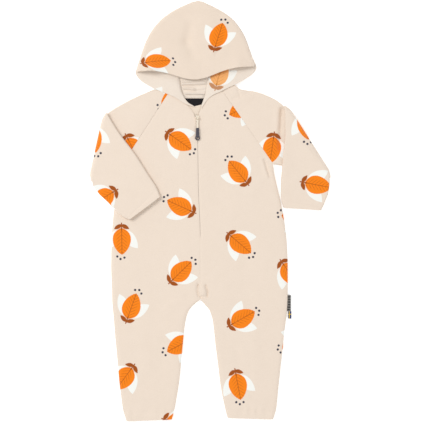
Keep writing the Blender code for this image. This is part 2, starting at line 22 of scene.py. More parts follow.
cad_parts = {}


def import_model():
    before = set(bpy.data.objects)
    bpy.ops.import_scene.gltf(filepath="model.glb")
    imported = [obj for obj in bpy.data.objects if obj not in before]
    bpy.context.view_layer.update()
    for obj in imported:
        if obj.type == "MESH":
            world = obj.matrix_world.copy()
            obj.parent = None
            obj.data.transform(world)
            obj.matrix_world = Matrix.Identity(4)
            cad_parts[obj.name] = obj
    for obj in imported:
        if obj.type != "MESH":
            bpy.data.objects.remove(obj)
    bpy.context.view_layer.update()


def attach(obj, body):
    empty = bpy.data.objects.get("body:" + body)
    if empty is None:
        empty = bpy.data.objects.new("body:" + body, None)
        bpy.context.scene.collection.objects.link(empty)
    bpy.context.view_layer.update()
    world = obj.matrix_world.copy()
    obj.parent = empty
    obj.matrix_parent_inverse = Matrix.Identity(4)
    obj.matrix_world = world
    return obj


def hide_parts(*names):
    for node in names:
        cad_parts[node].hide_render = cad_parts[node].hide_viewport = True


LOG = logging.getLogger("jumpsuit")
MM = 0.001
# The cloth's thickness, the width of its soft edges, and the lowest and the usual height of a laid panel's top.
CLOTH, CLOTH_EDGE = 2.5, 0.5
RIM_Z, BODY_TOP = 3.0, 7.4
# Of an edge that is rolled down: how far in it starts, the share that stands upright, and the steps across it.
ROLL_RADIUS, ROLL_UPRIGHT, ROLL_STEPS = 9.0, 0.2, 7
# A sleeve is turned over round a line at this height. Steps across each side, round each edge, and round the turn.
TURN_Z = 8.0
FACE_STEPS, CAP_STEPS, TURN_STEPS = 60, 9, 17
# How deep and wide a seam dips, and how far a sewn edge is brought up to its neighbour.
SEAM_DIP, SEAM_HALF_WIDTH, SEAM_REACH = 0.5, 2.0, 0.3
# How far each front's edge is drawn back from the teeth, and where the zip ends.
ZIP_SLIT, ZIP_BOTTOM = 0.08, -50.0
# The most that a crease lifts the cloth, and how high the cloth's own long and short waves are.
MOST_RELIEF, WAVE, RIPPLE = 3.0, 0.22, 0.16
CROTCH = (-18.9, -167.0)


class Row(NamedTuple):
    """One line across a front, from its left edge to its right edge. A roll of 1 is an edge rolled down."""

    left_x: float
    left_y: float
    right_x: float
    right_y: float
    left_roll: float
    right_roll: float


class CrownRow(NamedTuple):
    """One line across the hood's crown: its two ends, how far it sags, its share of the rise, its height."""

    left_x: float
    left_y: float
    right_x: float
    right_y: float
    sag: float
    rise: float
    top: float


class SleeveRow(NamedTuple):
    """One line across a sleeve, from its arm edge to its underarm edge, and how far each end sinks."""

    arm_x: float
    arm_y: float
    under_x: float
    under_y: float
    arm_sink: float
    under_sink: float


class SideRow(NamedTuple):
    """One line across a hood side panel, from its inner edge to its hem, with its heights."""

    inner_x: float
    inner_y: float
    inner_z: float
    hem_x: float
    hem_y: float
    hem_z: float
    rise_from: float


class Crease(NamedTuple):
    """A soft ridge, or a trough where the height is below zero, along a straight line in the cloth."""

    start_x: float
    start_y: float
    end_x: float
    end_y: float
    half_width: float
    height: float


class TurnedEdge(NamedTuple):
    """A hem: how deep it is turned in, how softly it ends, and the depth and width of its stitched line."""

    depth: float
    blend: float
    stitch: float
    stitch_width: float

    def relief(self, hem: np.ndarray) -> np.ndarray:
        """Give the height of the hem's ridge and stitched line.

        Args:
            hem: How far each place is from the panel's end.

        Returns:
            The heights to add.
        """
        line = (hem - self.depth - 0.5) / self.stitch_width
        return 0.5 / (1.0 + np.exp((hem - self.depth) / self.blend)) - self.stitch * np.exp(-(line**2))


class Piece(NamedTuple):
    """What a piece takes its finish from, stands for, and rides on, and how its cloth was cut and lies."""

    slot: str
    node: str | None = None
    body: str = "suit"
    flat: tuple[float, float] | None = None
    area: float | None = None
    held: str = "laid"
    rests_on: tuple[str, ...] = ()


LEG_HEM = TurnedEdge(15.0, 1.2, 0.7, 1.6)
CROWN_HEM = TurnedEdge(12.0, 1.2, 0.5, 1.6)
CUFF_HEM = TurnedEdge(9.0, 1.0, 0.6, 1.5)
ON_BACK, ON_HOOD = ("back_cloth",), ("hood_back_cloth",)
PIECES = {
    "back_cloth": Piece("fleece_print", "back", flat=(0.337, 0.63), area=0.164),
    "front_left_cloth": Piece("fleece_print", "front_left", flat=(0.170, 0.625), area=0.083, rests_on=ON_BACK),
    "front_right_cloth": Piece("fleece_print", "front_right", flat=(0.170, 0.630), area=0.082, rests_on=ON_BACK),
    "sleeve_left_cloth": Piece(
        "fleece_print", "sleeve_left", "suit", (0.320, 0.285), 0.054, "folded", ("front_left_cloth",)
    ),
    "sleeve_right_cloth": Piece(
        "fleece_print", "sleeve_right", "suit", (0.350, 0.300), 0.058, "folded", ("front_right_cloth",)
    ),
    "hood_crown_cloth": Piece("fleece_print", "hood_crown", flat=(0.228, 0.137), area=0.0236, rests_on=ON_HOOD),
    "hood_back_cloth": Piece("fleece_inside", "hood_back", flat=(0.232, 0.186), area=0.0300),
    "hood_side_left_cloth": Piece(
        "fleece_inside", "hood_side_left", flat=(0.132, 0.05), area=0.0041, rests_on=ON_HOOD
    ),
    "hood_side_right_cloth": Piece(
        "fleece_inside", "hood_side_right", flat=(0.132, 0.05), area=0.0041, rests_on=ON_HOOD
    ),
    "zip_tape_left": Piece("zip_tape", "zip_tape", flat=(0.011, 0.257), rests_on=ON_BACK),
    "zip_tape_right": Piece("zip_tape", "zip_tape", flat=(0.011, 0.257), rests_on=ON_BACK),
    "zip_tape_head": Piece("zip_tape", flat=(0.036, 0.034), area=0.00088, rests_on=ON_BACK),
    "zip_teeth": Piece("zip_tape"),
    "slider_body": Piece("zip_metal", "zip_slider"),
    "pull_tab": Piece("zip_metal", "zip_tab", "pull"),
    "pull_grip": Piece("puller_rubber", "zip_puller", "pull"),
    "neck_label_cloth": Piece("label_black", "neck_label", flat=(0.039, 0.0173), rests_on=ON_BACK),
    "side_label_cloth": Piece("label_black", "side_label"),
    "side_flag_cloth": Piece("flag_weave", "side_flag"),
}
HEAD_BOTTOM = ((-35.0, 170.0), (-17.0, 170.0))
FRONT_LEFT = [
    Row(-80.8, 222, -70.5, 222, 0, 0), Row(-86, 214, -57, 213, 0, 0), Row(-92.2, 204.4, -44, 201.5, 0, 0),
    Row(-103.6, 186.8, -33.2, 187, 0, 0), Row(-115, 169.3, -26.6, 170.5, 0, 0),
    Row(-134, 140, -24.7, 140, 0, 0), Row(-148.2, 118.2, -24.2, 115.5, 0, 0),
    Row(-162.4, 96.4, -23.9, 92.5, 0, 0), Row(-170.5, 74, -23.6, 71, 1, 0), Row(-176, 49, -23.3, 48, 1, 0),
    Row(-183, 6, -21.6, 6, 1, 0), Row(-187.6, -45, -19.6, -44, 1, 0), Row(-189, -103, -19, -103, 1, 0),
    Row(-187.6, -150, -19, -146, 1, 0), Row(-187, -172, -19.1, -166.6, 1, 0),
    Row(-185.8, -186, -28.5, -175.5, 1, 1), Row(-184.2, -203, -40.5, -188.5, 1, 1),
    Row(-182.3, -228, -47.5, -209.5, 1, 1), Row(-179.5, -257, -51.6, -243, 1, 1),
    Row(-176.8, -286, -54.4, -274, 1, 1), Row(-173.5, -322, -59.2, -323, 1, 1),
    Row(-169.8, -354, -64.4, -356, 1, 1), Row(-166.6, -377, -68.8, -379.5, 1, 1),
    Row(-159.9, -400, -73.5, -396.5, 1, 1),
]
FRONT_RIGHT = [
    Row(7, 225, 22, 228.9, 0, 0), Row(-8.5, 211, 33, 213, 0, 0), Row(-14, 203, 40.2, 202.6, 0, 0),
    Row(-23.2, 179, 54.5, 182, 0, 0), Row(-24.4, 158, 68.3, 162, 0, 0), Row(-24.1, 139.7, 82.2, 142, 0, 0),
    Row(-23.9, 115.2, 100.5, 115.5, 0, 0), Row(-23.6, 92.2, 117.5, 91, 0, 0), Row(-23.3, 70.7, 121, 72, 0, 1),
    Row(-23, 47.7, 126, 49, 0, 1), Row(-21.3, 5.7, 136, 4, 0, 1), Row(-19.3, -44.3, 144.5, -54, 0, 1),
    Row(-18.7, -103.3, 146.8, -103, 0, 1), Row(-18.7, -146.3, 146.9, -150, 0, 1),
    Row(-18.6, -166.6, 146.4, -172, 0, 1), Row(-12.4, -176.5, 145.6, -186, 1, 1),
    Row(-1.8, -189.5, 143.9, -203, 1, 1), Row(4.2, -209.5, 140.6, -230, 1, 1),
    Row(9.6, -256.5, 136.6, -268, 1, 1), Row(14.8, -297, 132.4, -306, 1, 1), Row(19.2, -333, 128.6, -342, 1, 1),
    Row(26.8, -372, 125, -376, 1, 1), Row(32.3, -393.6, 119.2, -396.4, 1, 1),
]
BACK_NECK = [
    (-66, 217.5), (-49, 215.6), (-28, 214.8), (-4, 215.6), (10, 222),
]
SLEEVE_LEFT = [
    SleeveRow(-78.9, 225.5, -164.3, 94.1, 0, 0), SleeveRow(-103.5, 230.5, -173.5, 88.5, 0, 0),
    SleeveRow(-127.5, 222.5, -184, 82, 0, 0), SleeveRow(-166, 204, -203, 70, 0, 0),
    SleeveRow(-194, 186.8, -222.5, 57.4, 0, 0), SleeveRow(-195.4, 185.6, -224.4, 55.7, 0, 0),
]
SLEEVE_LEFT_OVER = [
    SleeveRow(-195.4, 185.6, -224.4, 55.7, 0, 0), SleeveRow(-194.4, 182.8, -222.4, 46.6, 0, 0),
    SleeveRow(-176, 152, -212, 32.6, 0, 0), SleeveRow(-142.6, 107, -193.6, 15.4, 0, 0),
    SleeveRow(-115.5, 64.9, -177.2, -2, 0.3, 0.3), SleeveRow(-104, 47.4, -162, -13.8, 0.6, 0.6),
    SleeveRow(-94.6, 27.2, -153.4, -16.8, 0.8, 0.8),
]
SLEEVE_RIGHT = [
    SleeveRow(20, 232.4, 119.5, 88.7, 0, 0), SleeveRow(44, 240, 136, 86, 0, 0),
    SleeveRow(56, 231.5, 146, 83.5, 0, 0), SleeveRow(85, 226.8, 168, 79.5, 0, 0),
    SleeveRow(119.5, 213.6, 199, 71, 0, 0), SleeveRow(136.8, 201.2, 222.8, 63.2, 0, 0),
    SleeveRow(139.4, 198.2, 226, 61.8, 0, 0),
]
SLEEVE_RIGHT_OVER = [
    SleeveRow(139.4, 198.2, 226, 61.8, 0, 0), SleeveRow(140.6, 192.4, 226.2, 53.4, 0, 0),
    SleeveRow(141.5, 152, 225, 42, 0, 0.8), SleeveRow(137.6, 105, 221.4, 27, 0, 3),
    SleeveRow(135.1, 76, 217.6, 17.5, 1, 5), SleeveRow(133.2, 47.4, 214.4, 9, 5, 7),
    SleeveRow(134.6, 20, 211.6, 4, 8.2, 8.5), SleeveRow(139.1, 5.6, 210.8, 0.9, 8.6, 8.6),
]
CROWN = [
    CrownRow(-31, 398.3, -16.4, 398.3, 0, 0, 7.4), CrownRow(-31.5, 398.2, -15.9, 398.2, 0, 0.4, 7.4),
    CrownRow(-36, 396.6, -12, 396.6, 0, 0.7, 7.4), CrownRow(-48, 391.5, -2.5, 391.5, 0, 0.94, 7.6),
    CrownRow(-62, 385, 9, 386, 0, 1, 7.8), CrownRow(-79, 375, 24, 378, 0, 1, 8),
    CrownRow(-95, 362.5, 40, 366, 0, 1, 8), CrownRow(-108, 347.5, 53.5, 350, 1, 1, 8),
    CrownRow(-119, 329.5, 64, 332, 3, 1, 8), CrownRow(-127.5, 309, 72, 312, 6, 1, 8.5),
    CrownRow(-134.5, 289, 78.5, 294, 11, 1, 9.6), CrownRow(-139.6, 273.5, 84, 281, 16, 1, 11.2),
    CrownRow(-141, 264.5, 83.5, 274, 20, 1, 12),
]
HOOD_BACK = [
    (-23.7, 399.9), (-38, 395.5), (-61.5, 384.5), (-87.5, 368), (-107, 349.5), (-120, 328.5), (-128.5, 307.5),
    (-134.9, 288), (-140.7, 270), (-142.9, 263.2), (-138, 253.4), (-123.5, 241.8), (-106, 236), (-77, 229.4),
    (-52, 216.2), (-28, 215.4), (-4, 216.2), (10, 222.6), (13, 229), (19, 235), (28, 239), (44, 244.5),
    (56, 247.5), (68, 252.5), (81, 261.5), (87.5, 272), (80, 291.5), (73.5, 310), (65, 332), (55, 349),
    (41.5, 365), (25, 377.5), (4, 389), (-15, 397.5),
]
SIDE_LEFT = [
    SideRow(-137.6, 262, 2.8, -139.6, 259, 2.8, 0), SideRow(-130, 270, 2.8, -134, 249, 2.8, 0),
    SideRow(-111, 273, 2.8, -121, 239.8, 2.8, 0), SideRow(-86.5, 271.5, 2.8, -103.6, 230.6, 7.7, 18),
    SideRow(-63.7, 264, 2.8, -80.8, 221.4, 7.7, 10), SideRow(-58.9, 248.5, 2.8, -65.6, 214.5, 7.7, 0),
    SideRow(-57, 233.5, 2.8, -56, 208, 7.7, 0), SideRow(-53.2, 220.5, 2.8, -44.6, 202, 7.7, 0),
    SideRow(-46.6, 208.2, 7, -35.1, 198.8, 7.7, 0), SideRow(-34.6, 200.9, 7.7, -29.4, 197.4, 7.7, 0),
]
SIDE_RIGHT = [
    SideRow(81.5, 271, 2.8, 84.6, 268.4, 2.8, 0), SideRow(73, 278, 2.8, 79.8, 260, 2.8, 0),
    SideRow(56, 281, 2.8, 67.5, 251.3, 2.8, 0), SideRow(33.3, 277, 2.8, 50.4, 241.4, 7.7, 17),
    SideRow(8.6, 269, 2.8, 32.9, 233.4, 7.7, 13), SideRow(-2.9, 254.3, 2.8, 18.4, 226.2, 7.7, 2),
    SideRow(-7.6, 237, 2.8, 4.8, 220.1, 7.7, 0), SideRow(-10, 222, 3.4, -6.5, 210.5, 7.7, 0),
    SideRow(-13.3, 211.6, 7.7, -12.6, 202, 7.7, 0), SideRow(-17.3, 200.6, 7.7, -17.5, 193.6, 7.7, 0),
]
HEAD_TOP = [
    (-47, 203), (-40, 202.6), (-31.7, 198.4), (-14, 202.8), (-11, 204),
]
CROWN_CREASES = [
    Crease(-4, 362, 6, 318, 26, 2.6), Crease(-38, 352, -44, 322, 9, -2.8), Crease(-44, 322, -34, 298, 9, -2.4),
    Crease(-48, 384, 8, 384, 12, 1.2), Crease(18.5, 324, 4, 300, 4, 1.5), Crease(24, 322, 10, 297, 4, -1.6),
    Crease(-26, 303, 0, 301, 7, -0.8), Crease(-17.5, 281, -17.5, 271, 3, -0.7),
    Crease(-92, 330, -70, 300, 14, 0.8), Crease(40, 330, 54, 292, 12, 0.7), Crease(-60, 296, -40, 262, 12, 0.8),
    Crease(-48, 371, 14, 372, 13, -1.8),
]
BODY_CREASES = [
    Crease(17, 150, 18, 20, 20, -1.2), Crease(98, 96, 107, 66, 4, 1.7), Crease(103, 96, 112, 67, 2.6, -2.6),
    Crease(-23.2, -140, -24.9, -149, 1.9, -4.1), Crease(-24.8, -152.4, -22, -161.6, 1.9, -4.1),
    Crease(-9.2, -142, -6.5, -148.6, 1.9, -3.9), Crease(-5.4, -151.8, -6, -163, 1.9, -3.9),
    Crease(-18.4, -164.2, -10.4, -164, 1.8, -3), Crease(-15, -144, -14, -155, 6, 2.2),
    Crease(-110, -60, -98, -190, 26, -1), Crease(70, -70, 62, -200, 26, -1), Crease(-150, 88, -108, 66, 9, 0.9),
    Crease(-156, 66, -122, 40, 7, -0.7), Crease(96, 60, 74, 30, 9, 0.7), Crease(-60, 150, -52, 92, 13, 0.6),
    Crease(-86, 4, -132, -16, 12, 0.6), Crease(30, -12, 92, -30, 11, 0.7), Crease(-6, -84, 38, -98, 8, -0.5),
    Crease(-72, -104, -30, -132, 9, 0.6), Crease(28, -150, 60, -176, 9, 0.7),
    Crease(-60, -168, -94, -196, 10, 0.8), Crease(-128, -228, -122, -300, 13, 0.9),
    Crease(-92, -250, -96, -330, 11, -0.7), Crease(82, -236, 88, -318, 12, 0.9),
    Crease(50, -262, 60, -340, 10, -0.7), Crease(-150, -346, -112, -356, 7, 0.6),
    Crease(62, -350, 104, -358, 7, 0.6),
]
HOOD_BACK_CREASES = [
    Crease(-44, 246, -16, 246.5, 7, 2.6), Crease(-42, 228, -16, 228.5, 7, 1.2),
    Crease(-53, 240.8, -9, 242.8, 2.6, 4.4), Crease(-53, 237.9, -9, 239.9, 1.3, -3.4),
    Crease(-50, 232.9, -32, 231.2, 2.4, 4.2), Crease(-32, 231.2, -12, 232.6, 2.4, 0.9),
    Crease(-50, 230.4, -32, 228.4, 1.2, -3.2), Crease(-32, 228.4, -12, 230, 1.2, -3.2),
    Crease(-47, 222.9, -12, 222, 2.2, 3.4), Crease(-47, 220.4, -12, 219.6, 1.1, -2.8),
]
LEFT_ARM_CREASES = [
    Crease(-120, 196, -150, 150, 14, 0.8), Crease(-158, 112, -184, 92, 9, 0.7),
]
LEFT_FOREARM_CREASES = [
    Crease(-196, 118, -160, 96, 10, 0.8), Crease(-206, 70, -176, 60, 8, -0.6),
]
RIGHT_ARM_CREASES = [
    Crease(135.5, 192, 132, 118, 4, -5), Crease(126, 186, 122, 128, 5, 1),
    Crease(44, 213, 74.5, 223.5, 3.2, -1.7), Crease(46, 207, 78, 218, 4.5, 0.8),
    Crease(53, 231, 55.5, 217, 2.6, -1.5), Crease(60, 206, 96, 170, 14, 0.8), Crease(118, 110, 150, 96, 9, 0.7),
]
RIGHT_FOREARM_CREASES = [
    Crease(150, 140, 196, 110, 12, 0.8), Crease(160, 84, 206, 62, 9, -0.6),
]


def distance(one: np.ndarray, other: np.ndarray) -> np.ndarray:
    """Give the lengths between two lists of points."""
    return np.linalg.norm(np.asarray(other) - np.asarray(one), axis=-1)


def eased(knots: np.ndarray, values: np.ndarray, places: np.ndarray) -> np.ndarray:
    """Run a smooth curve through table values, with no overshoot between them.

    Args:
        knots: Where along the curve each value stands, rising.
        values: One row of values for each knot.
        places: Where the curve is wanted.

    Returns:
        One row of values for each place.
    """
    step = np.diff(knots)[:, None]
    slope = np.diff(values, axis=0) / step
    tangent = np.zeros_like(values, dtype=float)
    tangent[0], tangent[-1] = slope[0], slope[-1]
    if len(knots) > 2:
        before, after = slope[:-1], slope[1:]
        same = before * after > 0
        one, two = 2 * step[1:] + step[:-1], step[1:] + 2 * step[:-1]
        safe_before, safe_after = np.where(same, before, 1.0), np.where(same, after, 1.0)
        tangent[1:-1] = np.where(same, (one + two) / (one / safe_before + two / safe_after), 0.0)
    index = np.clip(np.searchsorted(knots, places, side="right") - 1, 0, len(knots) - 2)
    width = step[index]
    share = (np.asarray(places)[:, None] - np.asarray(knots)[index][:, None]) / width
    square, cube = share**2, share**3
    return (
        (2 * cube - 3 * square + 1) * values[index]
        + (cube - 2 * square + share) * width * tangent[index]
        + (3 * square - 2 * cube) * values[index + 1]
        + (cube - square) * width * tangent[index + 1]
    )


def finer(rows: Sequence[tuple], spacing: float) -> tuple[np.ndarray, np.ndarray]:
    """Put smooth rows between the rows of a table.

    Args:
        rows: The table; the first and the second half of the place columns are its two edges.
        spacing: How far apart the new rows stand.

    Returns:
        The rows, and how far along the panel each one is.
    """
    table = np.array([tuple(row) for row in rows], dtype=float)
    other = 3 if isinstance(rows[0], SideRow) else 2
    first = distance(table[:-1, 0:2], table[1:, 0:2])
    second = distance(table[:-1, other : other + 2], table[1:, other : other + 2])
    knots = np.concatenate([[0.0], np.cumsum(np.maximum((first + second) / 2, 0.05))])
    places = np.linspace(0.0, knots[-1], max(int(knots[-1] / spacing), 2) + 1)
    return eased(knots, table, places), places


def crease_height(x: np.ndarray, y: np.ndarray, creases: Sequence[Crease]) -> np.ndarray:
    """Add up the creases at each place.

    Args:
        x: The places' X.
        y: The places' Y.
        creases: The creases.

    Returns:
        The heights that they add.
    """
    total = np.zeros_like(x)
    for crease in creases:
        run_x, run_y = crease.end_x - crease.start_x, crease.end_y - crease.start_y
        along = ((x - crease.start_x) * run_x + (y - crease.start_y) * run_y) / (run_x**2 + run_y**2)
        along = np.clip(along, 0.0, 1.0)
        away = np.hypot(x - crease.start_x - along * run_x, y - crease.start_y - along * run_y)
        total += crease.height * np.exp(-((away / crease.half_width) ** 2))
    return total


def creased(x: np.ndarray, y: np.ndarray, creases: Sequence[Crease]) -> np.ndarray:
    """Add up the creases and the cloth's own unevenness at each place.

    Args:
        x: The places' X.
        y: The places' Y.
        creases: The creases.

    Returns:
        The heights to add, held down to the most that the cloth lifts.
    """
    total = crease_height(x, y, creases)
    total += WAVE * np.sin(x / 17.0 + 1.3 * np.sin(y / 41.0)) * np.cos(y / 23.0 + 0.8 * np.sin(x / 37.0))
    total += RIPPLE * np.sin((x + y) / 11.0 + 2.0 * np.sin(y / 29.0))
    return np.minimum(total, MOST_RELIEF)


def roll_rise(away: np.ndarray, roll: np.ndarray, radius: np.ndarray) -> np.ndarray:
    """Give the share of the full rise near an edge.

    Args:
        away: How far each place is from the edge.
        roll: 1 where the edge is rolled down, 0 where it is flat.
        radius: How far in the roll starts.

    Returns:
        The shares, from 0 to 1.
    """
    turn = 1.0 - np.clip(away / radius, 0.0, 1.0)
    rise = ROLL_UPRIGHT + (1.0 - ROLL_UPRIGHT) * np.sqrt(np.clip(1.0 - turn**2, 0.0, 1.0))
    return 1.0 - roll * (1.0 - rise)


def flat_places(points: np.ndarray, start: np.ndarray, end: np.ndarray, anchor: int) -> np.ndarray:
    """Give where each point lies in the flat cloth, measured along its row from one column.

    Args:
        points: Rows by columns by three.
        start: Where each row starts, seen from above.
        end: Where each row ends.
        anchor: The column that keeps its place.

    Returns:
        Rows by columns by two.
    """
    lengths = np.linalg.norm(np.diff(points, axis=1), axis=-1)
    run = np.concatenate([np.zeros((len(points), 1)), np.cumsum(lengths, axis=1)], axis=1)
    run -= run[:, anchor : anchor + 1]
    way = (end - start) / np.maximum(distance(start, end), 1e-6)[:, None]
    return points[:, anchor : anchor + 1, 0:2] + way[:, None, :] * run[..., None]


def link_mesh(name: str, points: np.ndarray, faces: list) -> Object:
    """Put a mesh in the scene under a name.

    Args:
        name: The piece's name.
        points: Its points, in millimetres.
        faces: The points of each face.

    Returns:
        The object, shaded smooth.
    """
    mesh = bpy.data.meshes.new(name)
    mesh.from_pydata((points * MM).tolist(), [], faces)
    mesh.shade_smooth()
    obj = bpy.data.objects.new(name, mesh)
    bpy.context.scene.collection.objects.link(obj)
    return obj


def add_cloth_map(obj: Object, places: np.ndarray) -> None:
    """Give a sheet its UV map: where each face corner lies in the flat cloth, in metres."""
    layer = obj.data.uv_layers.new(name="cloth")
    layer.data.foreach_set("uv", (places.reshape(-1, 2) * MM).astype(np.float32).ravel())


def grid_mesh(
    name: str, points: np.ndarray, places: np.ndarray | None = None, up: bool = False, wrap: bool = False
) -> Object:
    """Make a sheet from a grid of points.

    Args:
        name: The piece's name.
        points: Rows by columns by three.
        places: Where each point is in the flat cloth, where that differs; one column more where it wraps.
        up: Whether the faces turn over, so that they point outwards.
        wrap: Whether the last column joins the first one.

    Returns:
        The sheet, still without thickness.
    """
    places = points[..., 0:2] if places is None else places
    rows, columns = points.shape[:2]
    row, column = [index.ravel() for index in np.mgrid[0 : rows - 1, 0 : columns if wrap else columns - 1]]
    down, beside = row + 1, column + 1
    after = beside % columns
    faces = np.stack(
        [row * columns + column, down * columns + column, down * columns + after, row * columns + after], axis=-1
    )
    spots = places[np.stack([row, down, down, row], axis=-1), np.stack([column, column, beside, beside], axis=-1)]
    if up:
        faces, spots = faces[:, ::-1], spots[:, ::-1]
    obj = link_mesh(name, points.reshape(-1, 3), faces.tolist())
    add_cloth_map(obj, spots)
    return obj


def apply_modifiers(obj: Object) -> None:
    """Apply every modifier on an object, in order.

    Args:
        obj: The object.
    """
    bpy.ops.object.select_all(action="DESELECT")
    obj.select_set(True)
    bpy.context.view_layer.objects.active = obj
    for modifier in list(obj.modifiers):
        bpy.ops.object.modifier_apply(modifier=modifier.name)
    obj.select_set(False)


def add_wall(obj: Object, thickness: float, edge: float = 0.0, **settings: float) -> None:
    """Give a sheet its thickness and, where it has one, a soft edge.

    Args:
        obj: The sheet.
        thickness: How thick it gets.
        edge: How wide its soft edge is.
        settings: The Solidify modifier's other settings.
    """
    wall = obj.modifiers.new("wall", "SOLIDIFY")
    for key, value in {"thickness": thickness * MM, "offset": -1.0, **settings}.items():
        setattr(wall, key, value)
    if edge:
        bevel = obj.modifiers.new("soft_edge", "BEVEL")
        bevel.width, bevel.segments = edge * MM, 2
        bevel.limit_method, bevel.angle_limit = "ANGLE", math.radians(60)
    apply_modifiers(obj)


class ClothSides(NamedTuple):
    """The finishes of a piece of cloth: of the side that its sheet shows, and of the other one."""

    seen: Material
    hidden: Material


def thicken(obj: Object, sides: ClothSides, offset: float = -1.0) -> None:
    """Give a sheet the cloth's thickness and finishes, and keep it on the surface.

    Args:
        obj: The sheet.
        sides: Its finishes.
        offset: -1 where the wall grows down from the sheet, 1 where it grows up.
    """
    for finish in sides:
        obj.data.materials.append(finish)
    settings = {"use_even_offset": True, "thickness_clamp": 1.0, "material_offset": 1, "material_offset_rim": 0}
    add_wall(obj, CLOTH, CLOTH_EDGE, offset=offset, **settings)
    places = np.zeros(len(obj.data.vertices) * 3)
    obj.data.vertices.foreach_get("co", places)
    places[2::3] = np.maximum(places[2::3], 0.0)
    obj.data.vertices.foreach_set("co", places)
    obj.data.shade_smooth()


def declare(obj: Object) -> None:
    """Attach a piece to its body, hide the part of the model that it stands for, and log its faces.

    Args:
        obj: The finished piece, which PIECES lists by its name.
    """
    piece = PIECES[obj.name]
    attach(obj, piece.body)
    if piece.node:
        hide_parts(piece.node)
    LOG.info("%s: %d faces", obj.name, len(obj.data.polygons))


def srgb(red: float, green: float, blue: float) -> tuple[float, float, float, float]:
    """Give the linear colour for a screen colour.

    Args:
        red: From 0 to 255.
        green: The same.
        blue: The same.

    Returns:
        Red, green, blue and alpha.
    """
    shares = [value / 255 for value in (red, green, blue)]
    return (*[share / 12.92 if share <= 0.04045 else ((share + 0.055) / 1.055) ** 2.4 for share in shares], 1.0)


class Wire:
    """One output of a node, on which Python's operators add Math nodes."""

    def __init__(self, graph: Graph, socket: NodeSocket) -> None:
        """Wrap an output socket of a graph."""
        self.graph = graph
        self.socket = socket

    def __add__(self, other: Wire | float) -> Wire:
        """Add."""
        return self.graph.math("ADD", self, other)

    def __radd__(self, other: float) -> Wire:
        """Add to a number."""
        return self.graph.math("ADD", other, self)

    def __sub__(self, other: Wire | float) -> Wire:
        """Subtract."""
        return self.graph.math("SUBTRACT", self, other)

    def __rsub__(self, other: float) -> Wire:
        """Subtract from a number."""
        return self.graph.math("SUBTRACT", other, self)

    def __mul__(self, other: Wire | float) -> Wire:
        """Multiply."""
        return self.graph.math("MULTIPLY", self, other)

    def __rmul__(self, other: float) -> Wire:
        """Multiply a number."""
        return self.graph.math("MULTIPLY", other, self)

    def __truediv__(self, other: Wire | float) -> Wire:
        """Divide."""
        return self.graph.math("DIVIDE", self, other)

    def __rtruediv__(self, other: float) -> Wire:
        """Divide a number."""
        return self.graph.math("DIVIDE", other, self)

    def __abs__(self) -> Wire:
        """Drop the sign."""
        return self.graph.math("ABSOLUTE", self)


